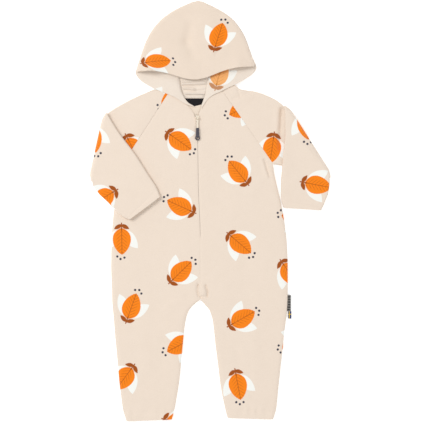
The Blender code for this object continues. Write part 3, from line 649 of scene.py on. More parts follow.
class Graph:
    """A material's node tree, built from expressions."""

    def __init__(self, name: str) -> None:
        """Start a finish with only its shader and output.

        Args:
            name: The finish's name.
        """
        self.material = bpy.data.materials.new(name)
        self.material.use_nodes = True
        self.tree = self.material.node_tree
        self.shader = self.tree.nodes["Principled BSDF"]

    def node(self, kind: str, settings: dict | None = None, inputs: dict | None = None) -> Node:
        """Add a node.

        Args:
            kind: The node's type.
            settings: The node's own settings, which are set first.
            inputs: The values or wires of its sockets, by name or number.

        Returns:
            The node.
        """
        made = self.tree.nodes.new(kind)
        for key, value in (settings or {}).items():
            setattr(made, key, value)
        self.fill(made, inputs or {})
        return made

    def fill(self, node: Node, inputs: dict) -> None:
        """Set or link sockets of a node.

        Args:
            node: The node.
            inputs: The values or wires, by the sockets' names or numbers.
        """
        for key, value in inputs.items():
            if isinstance(value, Wire):
                self.tree.links.new(value.socket, node.inputs[key])
            else:
                node.inputs[key].default_value = value

    def wire(self, kind: str, settings: dict | None = None, inputs: dict | None = None, out: int | str = 0) -> Wire:
        """Add a node and give one of its outputs."""
        return Wire(self, self.node(kind, settings, inputs).outputs[out])

    def math(self, operation: str, *values: Wire | float) -> Wire:
        """Add a Math node."""
        return self.wire("ShaderNodeMath", {"operation": operation}, dict(enumerate(values)))

    def most(self, one: Wire | float, other: Wire | float) -> Wire:
        """Give the larger of two values."""
        return self.math("MAXIMUM", one, other)

    def reach(self, x: Wire, y: Wire) -> Wire:
        """Give the length of a step across and along."""
        return self.math("SQRT", x * x + y * y)

    def split(self, vector: Wire) -> tuple[Wire, Wire, Wire]:
        """Give the three parts of a vector."""
        made = self.node("ShaderNodeSeparateXYZ", inputs={0: vector})
        return Wire(self, made.outputs[0]), Wire(self, made.outputs[1]), Wire(self, made.outputs[2])

    def join(self, x: Wire | float, y: Wire | float, z: Wire | float = 0.0) -> Wire:
        """Make a vector of three parts."""
        return self.wire("ShaderNodeCombineXYZ", inputs={0: x, 1: y, 2: z})

    def ramp(self, value: Wire, low: float, high: float) -> Wire:
        """Bring a range of a value to 0 to 1 along a soft curve; low may be above high."""
        inputs = {"Value": value, "From Min": low, "From Max": high}
        return self.wire("ShaderNodeMapRange", {"interpolation_type": "SMOOTHSTEP"}, inputs)

    def mix(self, share: Wire | float, one: Wire | tuple, other: Wire | tuple) -> Wire:
        """Mix two colours."""
        return self.wire("ShaderNodeMix", {"data_type": "RGBA"}, {0: share, 6: one, 7: other}, out=2)

    def noise(self, vector: Wire, scale: float, detail: float = 2.0, roughness: float = 0.5, out: int = 0) -> Wire:
        """Add a noise texture."""
        inputs = {"Vector": vector, "Scale": scale, "Detail": detail, "Roughness": roughness}
        return self.wire("ShaderNodeTexNoise", inputs=inputs, out=out)

    def place(self) -> Wire:
        """Read the place in the object's own frame."""
        return self.wire("ShaderNodeTexCoord", out="Object")

    def bump(self, height: Wire, strength: float, depth: float) -> Wire:
        """Give the normal of a height, in metres of depth."""
        return self.wire("ShaderNodeBump", inputs={"Strength": strength, "Distance": depth, "Height": height})

    def finish(self, **values: Wire | float | tuple) -> Material:
        """Set the shader's sockets, with spaces written as underscores, and give the material."""
        self.fill(self.shader, {key.replace("_", " "): value for key, value in values.items()})
        return self.material


@dataclass(frozen=True)
class Leaf:
    """A printed leaf: its middle, the way it points, half its length and half its width."""

    x: float
    y: float
    turn: float
    half_length: float
    half_width: float
    blunt: float = 0.22
    blur: float = 0.5

    def mask(self, graph: Graph, x: Wire, y: Wire) -> Wire:
        """Give where the leaf is: the overlap of two discs, blunt at the stalk and sharp at the tip.

        Args:
            graph: The material.
            x: The place across the sprig.
            y: The place along the sprig.

        Returns:
            1 on the leaf and 0 off it.
        """
        turn = math.radians(self.turn)
        away_x, away_y = x - self.x, y - self.y
        across = away_x * math.cos(turn) + away_y * math.sin(turn)
        along = away_y * math.cos(turn) - away_x * math.sin(turn)
        widened = across * (1.0 + along * (self.blunt / self.half_length))
        radius = (self.half_length**2 + self.half_width**2) / (2 * self.half_width)
        side = abs(widened) + (radius - self.half_width)
        return graph.ramp(graph.reach(side, along), radius + self.blur, radius - self.blur)


@dataclass(frozen=True)
class Sprig:
    """The printed motif: an orange leaf between two pale ones, two small brown ones and three berries."""

    cell: tuple[float, float] = (105.0, 131.0)
    wander: tuple[float, float] = (24.0, 36.0)
    orange: Leaf = Leaf(0.0, 3.0, 0.0, 25.5, 17.0)
    pale: Leaf = Leaf(15.5, -1.0, -40.0, 23.0, 11.0)
    brown: Leaf = Leaf(7.0, -24.5, -62.0, 8.5, 3.8)
    berries: tuple[tuple[float, float], ...] = ((-4.5, 34.0), (3.0, 36.5), (9.0, 31.5))
    berry_radius: float = 2.2
    vein_gap: float = 6.5
    vein_slant: float = 0.9
    fuzz: float = 1.6
    luck: float = 4.7


class Side(Enum):
    """Which side of the cloth a finish is for, with the strength of the print there."""

    FACE = 1.0
    REVERSE = 0.85


@dataclass(frozen=True)
class PrintedFleece:
    """Brushed polyester fleece with an all-over print of sprigs."""

    name: str
    side: Side
    ground: tuple[float, float, float]
    orange: tuple[float, float, float] = (248, 131, 0)
    brown: tuple[float, float, float] = (160, 78, 4)
    pale: tuple[float, float, float] = (246, 247, 242)
    navy: tuple[float, float, float] = (38, 40, 62)
    shade: tuple[float, float, float] = (196, 176, 154)
    shift: tuple[float, float] = (0.0, 0.0)
    sprig: Sprig = field(default_factory=Sprig)

    def place_in_sprig(self, graph: Graph, cloth: Wire) -> tuple[Wire, Wire]:
        """Lay the sprigs out in columns that drop by half a step, each one moved and turned at random.

        Args:
            graph: The material.
            cloth: The place in the flat cloth, in metres.

        Returns:
            The place across and along the nearest sprig.
        """
        (wide, high), fuzz = self.sprig.cell, self.sprig.fuzz
        u, v, _ = graph.split(cloth)
        fuzz_x, fuzz_y, _ = graph.split(graph.noise(cloth, 900.0, 1.0, out=1))
        u = u * 1000.0 + self.shift[0] + (fuzz_x - 0.5) * fuzz
        v = v * 1000.0 + self.shift[1] + (fuzz_y - 0.5) * fuzz
        column = graph.math("FLOOR", u / wide)
        dropped = v + column * (high * 0.5)
        row = graph.math("FLOOR", dropped / high)
        cell = graph.join(column, row, self.sprig.luck)
        luck = graph.wire("ShaderNodeTexWhiteNoise", {"noise_dimensions": "3D"}, {"Vector": cell}, out=1)
        one, two, three = graph.split(luck)
        x = u - (column + 0.5) * wide - (one - 0.5) * self.sprig.wander[0]
        y = dropped - (row + 0.5) * high - (two - 0.5) * self.sprig.wander[1]
        turn = three * (2 * math.pi)
        cosine, sine = graph.math("COSINE", turn), graph.math("SINE", turn)
        return x * cosine + y * sine, y * cosine - x * sine

    def veins(self, graph: Graph, mirrored: Wire, along: Wire, leaf: Wire) -> Wire:
        """Draw the orange leaf's ribs and its stalk.

        Args:
            graph: The material.
            mirrored: The place away from the sprig's middle line.
            along: The place along the sprig.
            leaf: The mask of the orange leaf.

        Returns:
            The mask of the lines.
        """
        slant = (along - mirrored * self.sprig.vein_slant) / self.sprig.vein_gap
        vein = abs(graph.math("FRACT", slant) - 0.5) * self.sprig.vein_gap
        rib = graph.math("MINIMUM", mirrored, vein + 0.25)
        lines = graph.ramp(rib, 1.0, 0.35) * leaf * graph.ramp(mirrored, 12.0, 7.0)
        stalk = graph.ramp(mirrored, 1.5, 0.8) * graph.ramp(abs(along + 25.0), 8.0, 7.0)
        return graph.most(lines * 0.75, stalk)

    def berries(self, graph: Graph, across: Wire, along: Wire) -> Wire:
        """Draw the berries.

        Args:
            graph: The material.
            across: The place across the sprig.
            along: The place along the sprig.

        Returns:
            The berries' mask.
        """
        navy: Wire | float = 0.0
        for x, y in self.sprig.berries:
            reach = graph.reach(across - x, along - y)
            navy = graph.most(navy, graph.ramp(reach, self.sprig.berry_radius + 0.4, self.sprig.berry_radius - 0.4))
        return navy

    def material(self) -> Material:
        """Make the finish.

        Returns:
            The material.
        """
        graph = Graph(self.name)
        cloth = graph.wire("ShaderNodeUVMap", {"uv_map": "cloth"})
        across, along = self.place_in_sprig(graph, cloth)
        mirrored = abs(across)
        orange = self.sprig.orange.mask(graph, across, along)
        brown = graph.most(
            self.sprig.brown.mask(graph, mirrored, along), self.veins(graph, mirrored, along, orange)
        )
        clumps = graph.noise(cloth, 420.0, 3.0, 0.6)
        mottle = graph.noise(cloth, 60.0, 3.0, 0.55)
        uneven = (mottle - 0.5) * 0.10 + (clumps - 0.5) * 0.22 + 0.06
        colour = graph.mix(uneven, srgb(*self.ground), srgb(*self.shade))
        for mask, cover, ink in (
            (self.sprig.pale.mask(graph, mirrored, along), 0.95, self.pale),
            (orange, 1.0, self.orange),
            (brown, 1.0, self.brown),
            (self.berries(graph, across, along), 0.97, self.navy),
        ):
            colour = graph.mix(mask * (cover * self.side.value), colour, srgb(*ink))
        nap = graph.noise(cloth, 1500.0, 2.0, 0.6) * 0.35 + clumps * 0.65
        return graph.finish(
            Base_Color=colour,
            Roughness=0.86 + clumps * 0.12,
            Normal=graph.bump(nap, 0.55, 0.0011),
            Sheen_Weight=0.25,
            Sheen_Roughness=0.6,
            Specular_IOR_Level=0.15,
        )


class LaidRows:
    """The rows of a laid panel, cut into columns that stand closer together at both edges."""

    def __init__(self, rows: np.ndarray, count: int, edge_share: float) -> None:
        """Cut the rows.

        Args:
            rows: One line for each row, with its two ends first.
            count: How many columns stand between the edges.
            edge_share: The share of the width that each edge takes.
        """
        edge = edge_share * (1.0 - np.cos(np.linspace(0.0, math.pi / 2, ROLL_STEPS)))
        middle = np.linspace(edge_share, 1.0 - edge_share, count)[1:-1]
        self.shares = np.concatenate([edge, middle, 1.0 - edge[::-1]])[None, :]
        self.start, self.end = rows[:, 0:2], rows[:, 2:4]
        self.width = distance(self.start, self.end)[:, None]
        self.left, self.right = self.shares * self.width, (1.0 - self.shares) * self.width
        plan = self.start[:, None] + (self.end - self.start)[:, None] * self.shares[..., None]
        self.x, self.y = plan[..., 0], plan[..., 1]

    def rise(self, left_roll: np.ndarray, right_roll: np.ndarray) -> np.ndarray:
        """Give the share of the full height at each place, with the two edges rolled down where they are."""
        radius = np.minimum(ROLL_RADIUS, 0.4 * self.width)
        return roll_rise(self.left, left_roll, radius) * roll_rise(self.right, right_roll, radius)

    def sheet(self, name: str, z: np.ndarray) -> Object:
        """Make the sheet at these heights."""
        points = np.stack([self.x, self.y, z], axis=-1)
        return grid_mesh(name, points, flat_places(points, self.start, self.end, self.shares.shape[1] // 2))


@dataclass
class Front:
    """A front with its leg: side and inner leg edges rolled down, seams dipped where they are sewn."""

    name: str
    rows: list[Row]
    sides: ClothSides
    zip_side: int
    gather: float = 0.55
    gather_width: float = 9.0

    def build(self) -> None:
        table, along = finer(self.rows, 2.5)
        rows = LaidRows(self.sewn(table), 84, 0.06)
        left_roll, right_roll = table[:, 4:5], table[:, 5:6]
        dip = (1 - left_roll) * np.exp(-((rows.left / SEAM_HALF_WIDTH) ** 2))
        dip += (1 - right_roll) * np.exp(-((rows.right / SEAM_HALF_WIDTH) ** 2))
        hem = along[-1] - along[:, None]
        gathers = self.gather * np.sin(rows.x / 3.1 + 2.0 * np.sin(rows.x / 13.0))
        gathers *= np.exp(-(((hem - LEG_HEM.depth) / self.gather_width) ** 2))
        top = BODY_TOP + creased(rows.x, rows.y, BODY_CREASES) - SEAM_DIP * dip + LEG_HEM.relief(hem) + gathers
        obj = rows.sheet(self.name, RIM_Z + (top - RIM_Z) * rows.rise(left_roll, right_roll))
        thicken(obj, self.sides)
        declare(obj)

    def sewn(self, rows: np.ndarray) -> np.ndarray:
        """Draw the zip edge back a little where the teeth are, and bring the sewn edges up to their neighbours.

        Args:
            rows: The front's rows.

        Returns:
            The rows with their ends moved.
        """
        zip_column, other_column = (2, 0) if self.zip_side > 0 else (0, 2)
        zip_roll, other_roll = (rows[:, 5], rows[:, 4]) if self.zip_side > 0 else (rows[:, 4], rows[:, 5])
        share = 1.0 / (1.0 + np.exp(-(rows[:, zip_column + 1] - ZIP_BOTTOM) / 2.0))
        moved = rows.copy()
        moved[:, zip_column] -= self.zip_side * (ZIP_SLIT * share - SEAM_REACH * (1.0 - share) * (1.0 - zip_roll))
        moved[:, other_column] -= self.zip_side * SEAM_REACH * (1.0 - other_roll)
        return moved


@dataclass
class FlatPanel:
    """A panel that lies on the surface: an outline, with creases where the cloth lifts a little."""

    name: str
    outline: list[tuple[float, float]]
    sides: ClothSides
    creases: list[Crease]
    spacing: float = 5.0
    sharp: float = 3.0

    def build(self) -> None:
        rim = np.array(self.outline)
        low, high = rim.min(axis=0), rim.max(axis=0)
        grid = np.meshgrid(*[np.arange(low[i] + self.spacing, high[i], self.spacing) for i in (0, 1)])
        inner = np.stack([grid[0].ravel(), grid[1].ravel()], axis=-1)
        sharp = [self.near(crease) for crease in self.creases if crease.half_width < self.sharp]
        inner = np.concatenate([inner, *sharp])
        inner = inner[inside(inner, rim)]
        ends = [(index, (index + 1) % len(rim)) for index in range(len(rim))]
        spots = [Vector(point) for point in np.concatenate([rim, inner]).tolist()]
        corners, _, faces, *_ = delaunay_2d_cdt(spots, ends, [], 1, 0.01)
        xy = np.array([tuple(corner) for corner in corners])
        z = CLOTH + np.maximum(crease_height(xy[:, 0], xy[:, 1], self.creases), 0.0)
        obj = link_mesh(self.name, np.column_stack([xy, z]), faces)
        add_cloth_map(obj, xy[[loop.vertex_index for loop in obj.data.loops]])
        thicken(obj, self.sides)
        declare(obj)

    def near(self, crease: Crease) -> np.ndarray:
        """Give close lines of points along a sharp crease.

        Args:
            crease: The crease.

        Returns:
            The points, seen from above.
        """
        start, end = np.array(crease[0:2]), np.array(crease[2:4])
        side = np.array([start[1] - end[1], end[0] - start[0]]) / distance(start, end)
        along = np.linspace(0.0, 1.0, int(distance(start, end) / 1.6))[:, None, None]
        away = np.linspace(-2.0, 2.0, 9)[None, :, None] * crease.half_width
        return (start + (end - start) * along + side * away).reshape(-1, 2)


@dataclass
class Sleeve:
    """A sleeve: a flattened tube from its raglan seam to the elbow, turned over there, and on to the cuff."""

    name: str
    upper: list[SleeveRow]
    over: list[SleeveRow]
    outward: float
    sides: ClothSides
    creases: list[Crease]
    over_creases: list[Crease]
    half: float = BODY_TOP / 2
    arm_tuck: float = 0.5
    under_tuck: float = 0.55
    tuck_width: float = 9.0

    def section(self, width: np.ndarray) -> tuple[np.ndarray, np.ndarray, np.ndarray]:
        """Work out the flattened tube, from the upper side's underarm edge round to where it closes.

        Args:
            width: The tube's width at each ring.

        Returns:
            The places across, the heights, and how far round the cloth each point is from the arm edge.
        """
        flat = np.linspace(0.0, 1.0, FACE_STEPS)[None, :]
        turn = np.linspace(0.0, math.pi, CAP_STEPS + 2)[None, 1:-1]
        wide = width[:, None]
        ones = np.ones_like(wide)
        top, bottom = [self.half + (wide - 2 * self.half) * share for share in (flat[:, ::-1], flat)]
        bulge, rise = self.half * np.sin(turn) * ones, self.half * np.cos(turn) * ones
        across = np.concatenate([top, self.half - bulge, bottom, wide - self.half + bulge], axis=1)
        flats = [BODY_TOP * np.ones_like(top), np.zeros_like(bottom)]
        height = np.concatenate([flats[0], self.half + rise, flats[1], self.half - rise], axis=1)
        down = -math.pi * self.half - (bottom - self.half)
        tail = down[:, -1:] - self.half * turn
        closing = tail[:, -1:] - self.half * math.pi / (CAP_STEPS + 1)
        cloth = [top - self.half, -self.half * turn * ones, down, tail, closing]
        return across, height, np.concatenate(cloth, axis=1)

    def build(self) -> None:
        upper, upper_along = finer(self.upper, 2.0)
        over, over_along = finer(self.over, 2.0)
        angles = np.linspace(0.0, math.pi, TURN_STEPS)[1:-1]
        turn_row = np.array([self.over[0]], dtype=float)
        rows = np.concatenate([upper, np.repeat(turn_row, len(angles), axis=0), over])
        turns = np.concatenate([np.zeros(len(upper)), angles, np.full(len(over), math.pi)])
        elbow = upper_along[-1]
        along = np.concatenate([upper_along, np.full(len(angles), elbow), elbow + over_along])
        start, end = rows[:, 0:2], rows[:, 2:4]
        width = distance(start, end)
        across, height, cloth = self.section(width)
        share = across / width[:, None]
        plan = start[:, None, :] + (end - start)[:, None, :] * share[..., None]
        reach = TURN_Z - height - self.relief(plan, height, turns, along)
        arm, under = [np.exp(-((away / self.tuck_width) ** 2)) for away in (across, width[:, None] - across)]
        out = reach * np.sin(turns)[:, None] * (1.0 - self.arm_tuck * arm - self.under_tuck * under)
        sink = rows[:, 4:5] + (rows[:, 5:6] - rows[:, 4:5]) * share
        z = np.maximum(TURN_Z - reach * np.cos(turns)[:, None] - sink, 0.0)
        points = np.concatenate([plan + self.frame()[:, 1] * out[..., None], z[..., None]], axis=-1)
        places = self.unfolded(rows, cloth, height, turns)
        obj = grid_mesh(self.name, points, places, self.outward < 0, True)
        thicken(obj, self.sides)
        declare(obj)

    def frame(self) -> np.ndarray:
        """Work out the elbow's own frame.

        Returns:
            The way down the fold from its arm edge and the way out of it, as two columns.
        """
        fold = np.array(self.over[0][2:4]) - np.array(self.over[0][0:2])
        down = fold / np.linalg.norm(fold)
        return np.column_stack([down, self.outward * np.array([-down[1], down[0]])])

    def unfolded(self, rows: np.ndarray, cloth: np.ndarray, height: np.ndarray, turns: np.ndarray) -> np.ndarray:
        """Give where each point lies in the flat cloth, opened out at the elbow and along the arm edge.

        Args:
            rows: The line that each ring lies on.
            cloth: How far round the tube each point is, from the upper side's arm edge.
            height: The points' heights in the flat tube.
            turns: How far each ring is turned over.

        Returns:
            The places, measured from the elbow's arm edge.
        """
        corner, frame = np.array(self.over[0][0:2]), self.frame()
        start, end = (rows[:, 0:2] - corner) @ frame, (rows[:, 2:4] - corner) @ frame
        for line in (start, end):
            line[:, 1] *= np.where(turns > math.pi / 2, -1.0, 1.0)
        way = ((end - start) / distance(start, end)[:, None])[:, None, :]
        above = start[:, None, :] + way * (cloth + self.half)[..., None]
        below = start[:, None, :] + way * (self.half * (1.0 - math.pi) - cloth)[..., None]
        below[..., 0] = -below[..., 0] - self.half * (math.pi - 2.0)
        share = np.ones_like(cloth)
        share[:, :FACE_STEPS] = 0.0
        share[:, FACE_STEPS : FACE_STEPS + CAP_STEPS] = (turns / math.pi)[:, None]
        places = above + (below - above) * share[..., None]
        arc = (TURN_Z - height) * turns[:, None]
        places[..., 1] += np.concatenate([arc, arc[:, :1]], axis=1)
        return places

    def relief(self, plan: np.ndarray, height: np.ndarray, turns: np.ndarray, along: np.ndarray) -> np.ndarray:
        """Give how far each point stands proud of the flat tube.

        Args:
            plan: The points' places, seen from above.
            height: Their heights in the flat tube.
            turns: How far each ring is turned over.
            along: How far each ring is from the raglan seam.

        Returns:
            The heights to add, upwards before the turn and downwards in the tube after it.
        """
        x, y = plan[..., 0], plan[..., 1]
        lifted = np.clip(height / BODY_TOP, 0.0, 1.0)
        before, after = (turns < 0.01)[:, None], (turns > math.pi - 0.01)[:, None]
        up = creased(x, y, self.creases) * lifted**3 * before
        seam = -SEAM_DIP * np.exp(-((along / SEAM_HALF_WIDTH) ** 2))[:, None] * lifted**3 * before
        cuff = CUFF_HEM.relief(along[-1] - along[:, None])
        down = -(creased(x, y, self.over_creases) + cuff) * (1.0 - lifted) ** 3 * after
        near_turn = np.clip(np.abs(along - along[np.argmax(turns > 0.01)]) / 8.0, 0.0, 1.0)[:, None]
        ease = np.clip(np.arange(len(turns)) / 4.0, 0.6, 1.0)[:, None]
        return (up * near_turn + seam) * ease + down * near_turn


class Gape(NamedTuple):
    """Where the crown's hem stands open: how high, at which share of its width, and over how much of it."""

    height: float
    share: float
    spread: float


@dataclass
class Hood:
    """The hood: its crown, its lower layer and its two splayed side panels."""

    face: ClothSides
    inside: ClothSides
    gapes: tuple[Gape, ...] = (Gape(9.0, 0.11, 0.08), Gape(6.5, 0.86, 0.07))
    gape_depth: float = 17.0
    turn_width: float = 11.0
    settling: int = 80
    lip: float = 0.5

    def build_crown(self) -> None:
        """Make the upper layer, rolled down along its outline and open along its hem."""
        table, along = finer(CROWN, 3.0)
        rows = LaidRows(table, 64, 0.05)
        rows.y = rows.y - table[:, 4:5] * np.sin(np.pi * rows.shares) ** 4
        hem, rolled = along[-1] - along[:, None], np.ones_like(rows.width)
        mouth = sum(gape.height * np.exp(-(((rows.shares - gape.share) / gape.spread) ** 2)) for gape in self.gapes)
        top = table[:, 6:7] + creased(rows.x, rows.y, CROWN_CREASES) + CROWN_HEM.relief(hem)
        top = top + mouth * np.exp(-((hem / self.gape_depth) ** 2))
        obj = rows.sheet("hood_crown_cloth", RIM_Z + (top - RIM_Z) * rows.rise(rolled, rolled) * table[:, 5:6])
        thicken(obj, self.face)
        declare(obj)

    def build_side(self, name: str, table: list[SideRow], up: bool) -> None:
        """Make a lower side panel, one layer, turned down into the neck along its inner edge.

        Args:
            name: The piece's name.
            table: Its rows.
            up: Whether its faces turn over.
        """
        rows, along = finer(table, 2.0)
        start, end = rows[:, 0:2], rows[:, 3:5]
        width = distance(start, end)[:, None]
        shares = (np.linspace(0.0, 1.0, 22) ** 1.2)[None, :]
        plan = start[:, None] + (end - start)[:, None] * shares[..., None]
        turn = np.clip((shares * width - rows[:, 6:7]) / self.turn_width, 0.0, 1.0) * math.pi / 2
        z = rows[:, 2:3] + (rows[:, 5:6] - rows[:, 2:3]) * np.sin(turn)
        for _ in range(self.settling):
            z[1:-1] = (z[:-2] + 2 * z[1:-1] + z[2:]) / 4
        rim = np.exp(-(((1.0 - shares) * width / 5.0) ** 2))
        z = z + self.lip * rim * np.clip(along[:, None] / 20.0, 0.0, 1.0)
        points = np.concatenate([plan, z[..., None]], axis=-1)
        obj = grid_mesh(name, points, flat_places(points, start, end, 8), up)
        thicken(obj, self.inside, 1.0)
        declare(obj)

    def build(self) -> None:
        """Make the hood's four pieces."""
        self.build_crown()
        FlatPanel("hood_back_cloth", smooth_outline(HOOD_BACK, 4.0), self.inside, HOOD_BACK_CREASES, 2.5).build()
        self.build_side("hood_side_left_cloth", SIDE_LEFT, True)
        self.build_side("hood_side_right_cloth", SIDE_RIGHT, False)


def inside(points: np.ndarray, rim: np.ndarray) -> np.ndarray:
    """Say which points lie inside a closed outline.

    Args:
        points: The points, seen from above.
        rim: The outline's corners.

    Returns:
        Whether each point lies inside.
    """
    held = np.zeros(len(points), dtype=bool)
    for one, other in zip(rim, np.roll(rim, -1, axis=0), strict=True):
        crosses = (one[1] > points[:, 1]) != (other[1] > points[:, 1])
        if crosses.any():
            edge_x = one[0] + (points[:, 1] - one[1]) * (other[0] - one[0]) / ((other[1] - one[1]) or 1.0)
            held ^= crosses & (points[:, 0] < edge_x)
    return held


def smooth_outline(corners: list[tuple[float, float]], spacing: float) -> list[tuple[float, float]]:
    """Round off a closed outline through its corners.

    Args:
        corners: The corners.
        spacing: How far apart the new points stand.

    Returns:
        The points of the smooth outline.
    """
    table = np.array(corners + corners[:1])
    knots = np.concatenate([[0.0], np.cumsum(distance(table[:-1], table[1:]))])
    places = np.linspace(0.0, knots[-1], int(knots[-1] / spacing) + 1)[:-1]
    return [tuple(point) for point in eased(knots, table, places).tolist()]


def back_outline() -> list[tuple[float, float]]:
    """Give the outline of the back, round the smooth edges of the fronts.

    Returns:
        The points of the outline.
    """
    left, _ = finer(FRONT_LEFT, 6.0)
    right, _ = finer(FRONT_RIGHT, 6.0)
    left_inner = [tuple(row[2:4]) for row in left if row[5] > 0.5]
    right_inner = [tuple(row[0:2]) for row in right if row[4] > 0.5]
    outline = [tuple(row[0:2]) for row in left] + left_inner[::-1] + [CROTCH] + right_inner
    return outline + [tuple(row[2:4]) for row in right[::-1]] + BACK_NECK[::-1]


@dataclass
class Suit:
    """All the cloth of the suit."""

    body: ClothSides
    hood: ClothSides
    hood_inside: ClothSides

    def build(self) -> None:
        """Make every piece of cloth."""
        FlatPanel("back_cloth", back_outline(), self.body, []).build()
        Front("front_left_cloth", FRONT_LEFT, self.body, 1).build()
        Front("front_right_cloth", FRONT_RIGHT, self.body, -1).build()
        left, right = (SLEEVE_LEFT, SLEEVE_LEFT_OVER), (SLEEVE_RIGHT, SLEEVE_RIGHT_OVER)
        Sleeve("sleeve_left_cloth", *left, -1.0, self.body, LEFT_ARM_CREASES, LEFT_FOREARM_CREASES).build()
        Sleeve("sleeve_right_cloth", *right, 1.0, self.body, RIGHT_ARM_CREASES, RIGHT_FOREARM_CREASES).build()
        Hood(self.hood, self.hood_inside).build()


@dataclass
class Studio:
    """The pale table, the soft lights and the camera straight above, all in metres."""

    camera_height: float = 3.2
    focus_height: float = 0.006
    frame_width: float = 423 * 1.9 * MM
    middle: tuple[float, float] = (1.9 * MM, -1.25 * MM)
    table: float = 6.0
    glow: float = 0.35
    sky: float = 0.63

    def build_floor(self) -> None:
        """Make the surface that the suit lies on, lit from below a little so that it stays white."""
        bpy.ops.mesh.primitive_plane_add(size=self.table, location=(0.0, 0.0, 0.0))
        floor = bpy.context.object
        floor.name = "floor"
        graph = Graph("table_top")
        colour = graph.mix(graph.noise(graph.place(), 3.0), srgb(252, 252, 252), srgb(254, 254, 254))
        finish = {"Emission_Color": (1.0, 1.0, 1.0, 1.0), "Emission_Strength": self.glow}
        floor.data.materials.append(graph.finish(Base_Color=colour, Roughness=0.9, **finish))

    def add_light(self, name: str, place: tuple[float, float, float], size: float, power: float) -> None:
        """Hang a soft square light that faces the middle of the table.

        Args:
            name: The light's name.
            place: Where it hangs.
            size: How wide it is.
            power: Its power in watts.
        """
        lamp = bpy.data.lights.new(name, "AREA")
        lamp.shape, lamp.size, lamp.energy = "SQUARE", size, power
        obj = bpy.data.objects.new(name, lamp)
        bpy.context.scene.collection.objects.link(obj)
        obj.location = place
        obj.rotation_euler = (-Vector(place)).to_track_quat("-Z", "Y").to_euler()

    def add_camera(self) -> None:
        """Put the camera straight above, with the photograph's frame."""
        camera = bpy.data.cameras.new("camera")
        camera.sensor_width = 36.0
        camera.lens = camera.sensor_width * (self.camera_height - self.focus_height) / self.frame_width
        camera.clip_end = 20.0
        obj = bpy.data.objects.new("camera", camera)
        obj.location = (*self.middle, self.camera_height)
        bpy.context.scene.collection.objects.link(obj)
        bpy.context.scene.camera = obj

    def build(self) -> None:
        """Make the floor, the lights and the camera."""
        self.build_floor()
        self.add_light("key_light", (-2.4, 1.5, 3.2), 1.6, 78.0)
        self.add_light("fill_light", (2.4, -2.4, 3.2), 2.4, 38.0)
        world = bpy.data.worlds.new("studio")
        world.use_nodes = True
        background = world.node_tree.nodes["Background"]
        background.inputs["Color"].default_value = (1.0, 1.0, 1.0, 1.0)
        background.inputs["Strength"].default_value = self.sky
        bpy.context.scene.world = world
        bpy.context.scene.view_settings.view_transform = "Standard"
        self.add_camera()


def modelled(name: str, material: Material) -> Object:
    """Name the object that a primitive operator has just added, and set its origin and finish.

    Args:
        name: Its name.
        material: Its finish.

    Returns:
        The object.
    """
    obj = bpy.context.object
    obj.name = obj.data.name = name
    bpy.ops.object.transform_apply(location=True, rotation=True, scale=True)
    obj.data.materials.append(material)
    return obj


def pick_faces(obj: Object, way: tuple[float, float, float]) -> None:
    """Select the faces of an object that look one way, and leave it in edit mode.

    Args:
        obj: The object.
        way: The way that the faces look.
    """
    for item in [*obj.data.vertices, *obj.data.edges, *obj.data.polygons]:
        item.select = False
    for face in obj.data.polygons:
        face.select = face.normal.dot(Vector(way)) > 0.9
    bpy.ops.object.mode_set(mode="EDIT")
    bpy.ops.mesh.select_mode(type="FACE")


def block(name: str, centre: tuple, size: tuple, taper: tuple, material: Material) -> Object:
    """Make a block whose end towards the legs is narrowed or widened.

    Args:
        name: The block's name.
        centre: Its middle.
        size: Its size.
        taper: How wide and how thick the end towards the legs is, as a share of the other end.
        material: Its finish.

    Returns:
        The block.
    """
    bpy.ops.object.select_all(action="DESELECT")
    bpy.ops.mesh.primitive_cube_add(size=1.0, location=[value * MM for value in centre])
    bpy.context.object.scale = [value * MM for value in size]
    obj = modelled(name, material)
    pick_faces(obj, (0.0, -1.0, 0.0))
    bpy.ops.transform.resize(value=(taper[0], 1.0, taper[1]))
    bpy.ops.mesh.select_all(action="DESELECT")
    bpy.ops.object.mode_set(mode="OBJECT")
    return obj


def rod(name: str, centre: tuple, radius: float, length: float, material: Material) -> Object:
    """Make a rod that lies across the zip.

    Args:
        name: The rod's name.
        centre: Its middle.
        radius: Its radius.
        length: Its length.
        material: Its finish.

    Returns:
        The rod.
    """
    bpy.ops.object.select_all(action="DESELECT")
    bpy.ops.mesh.primitive_cylinder_add(
        vertices=20,
        radius=radius * MM,
        depth=length * MM,
        location=[value * MM for value in centre],
        rotation=(0.0, math.pi / 2, 0.0),
    )
    return modelled(name, material)


def ring(name: str, centre: tuple, radius: float, wire: float, turn: float, material: Material) -> Object:
    """Make a ring.

    Args:
        name: The ring's name.
        centre: Its middle.
        radius: The radius of its middle line.
        wire: The radius of its section.
        turn: How far it is turned up from lying flat, so that it stands across the zip.
        material: Its finish.

    Returns:
        The ring.
    """
    bpy.ops.object.select_all(action="DESELECT")
    bpy.ops.mesh.primitive_torus_add(
        major_radius=radius * MM,
        minor_radius=wire * MM,
        major_segments=40,
        minor_segments=14,
        location=[value * MM for value in centre],
        rotation=(0.0, turn, 0.0),
    )
    return modelled(name, material)


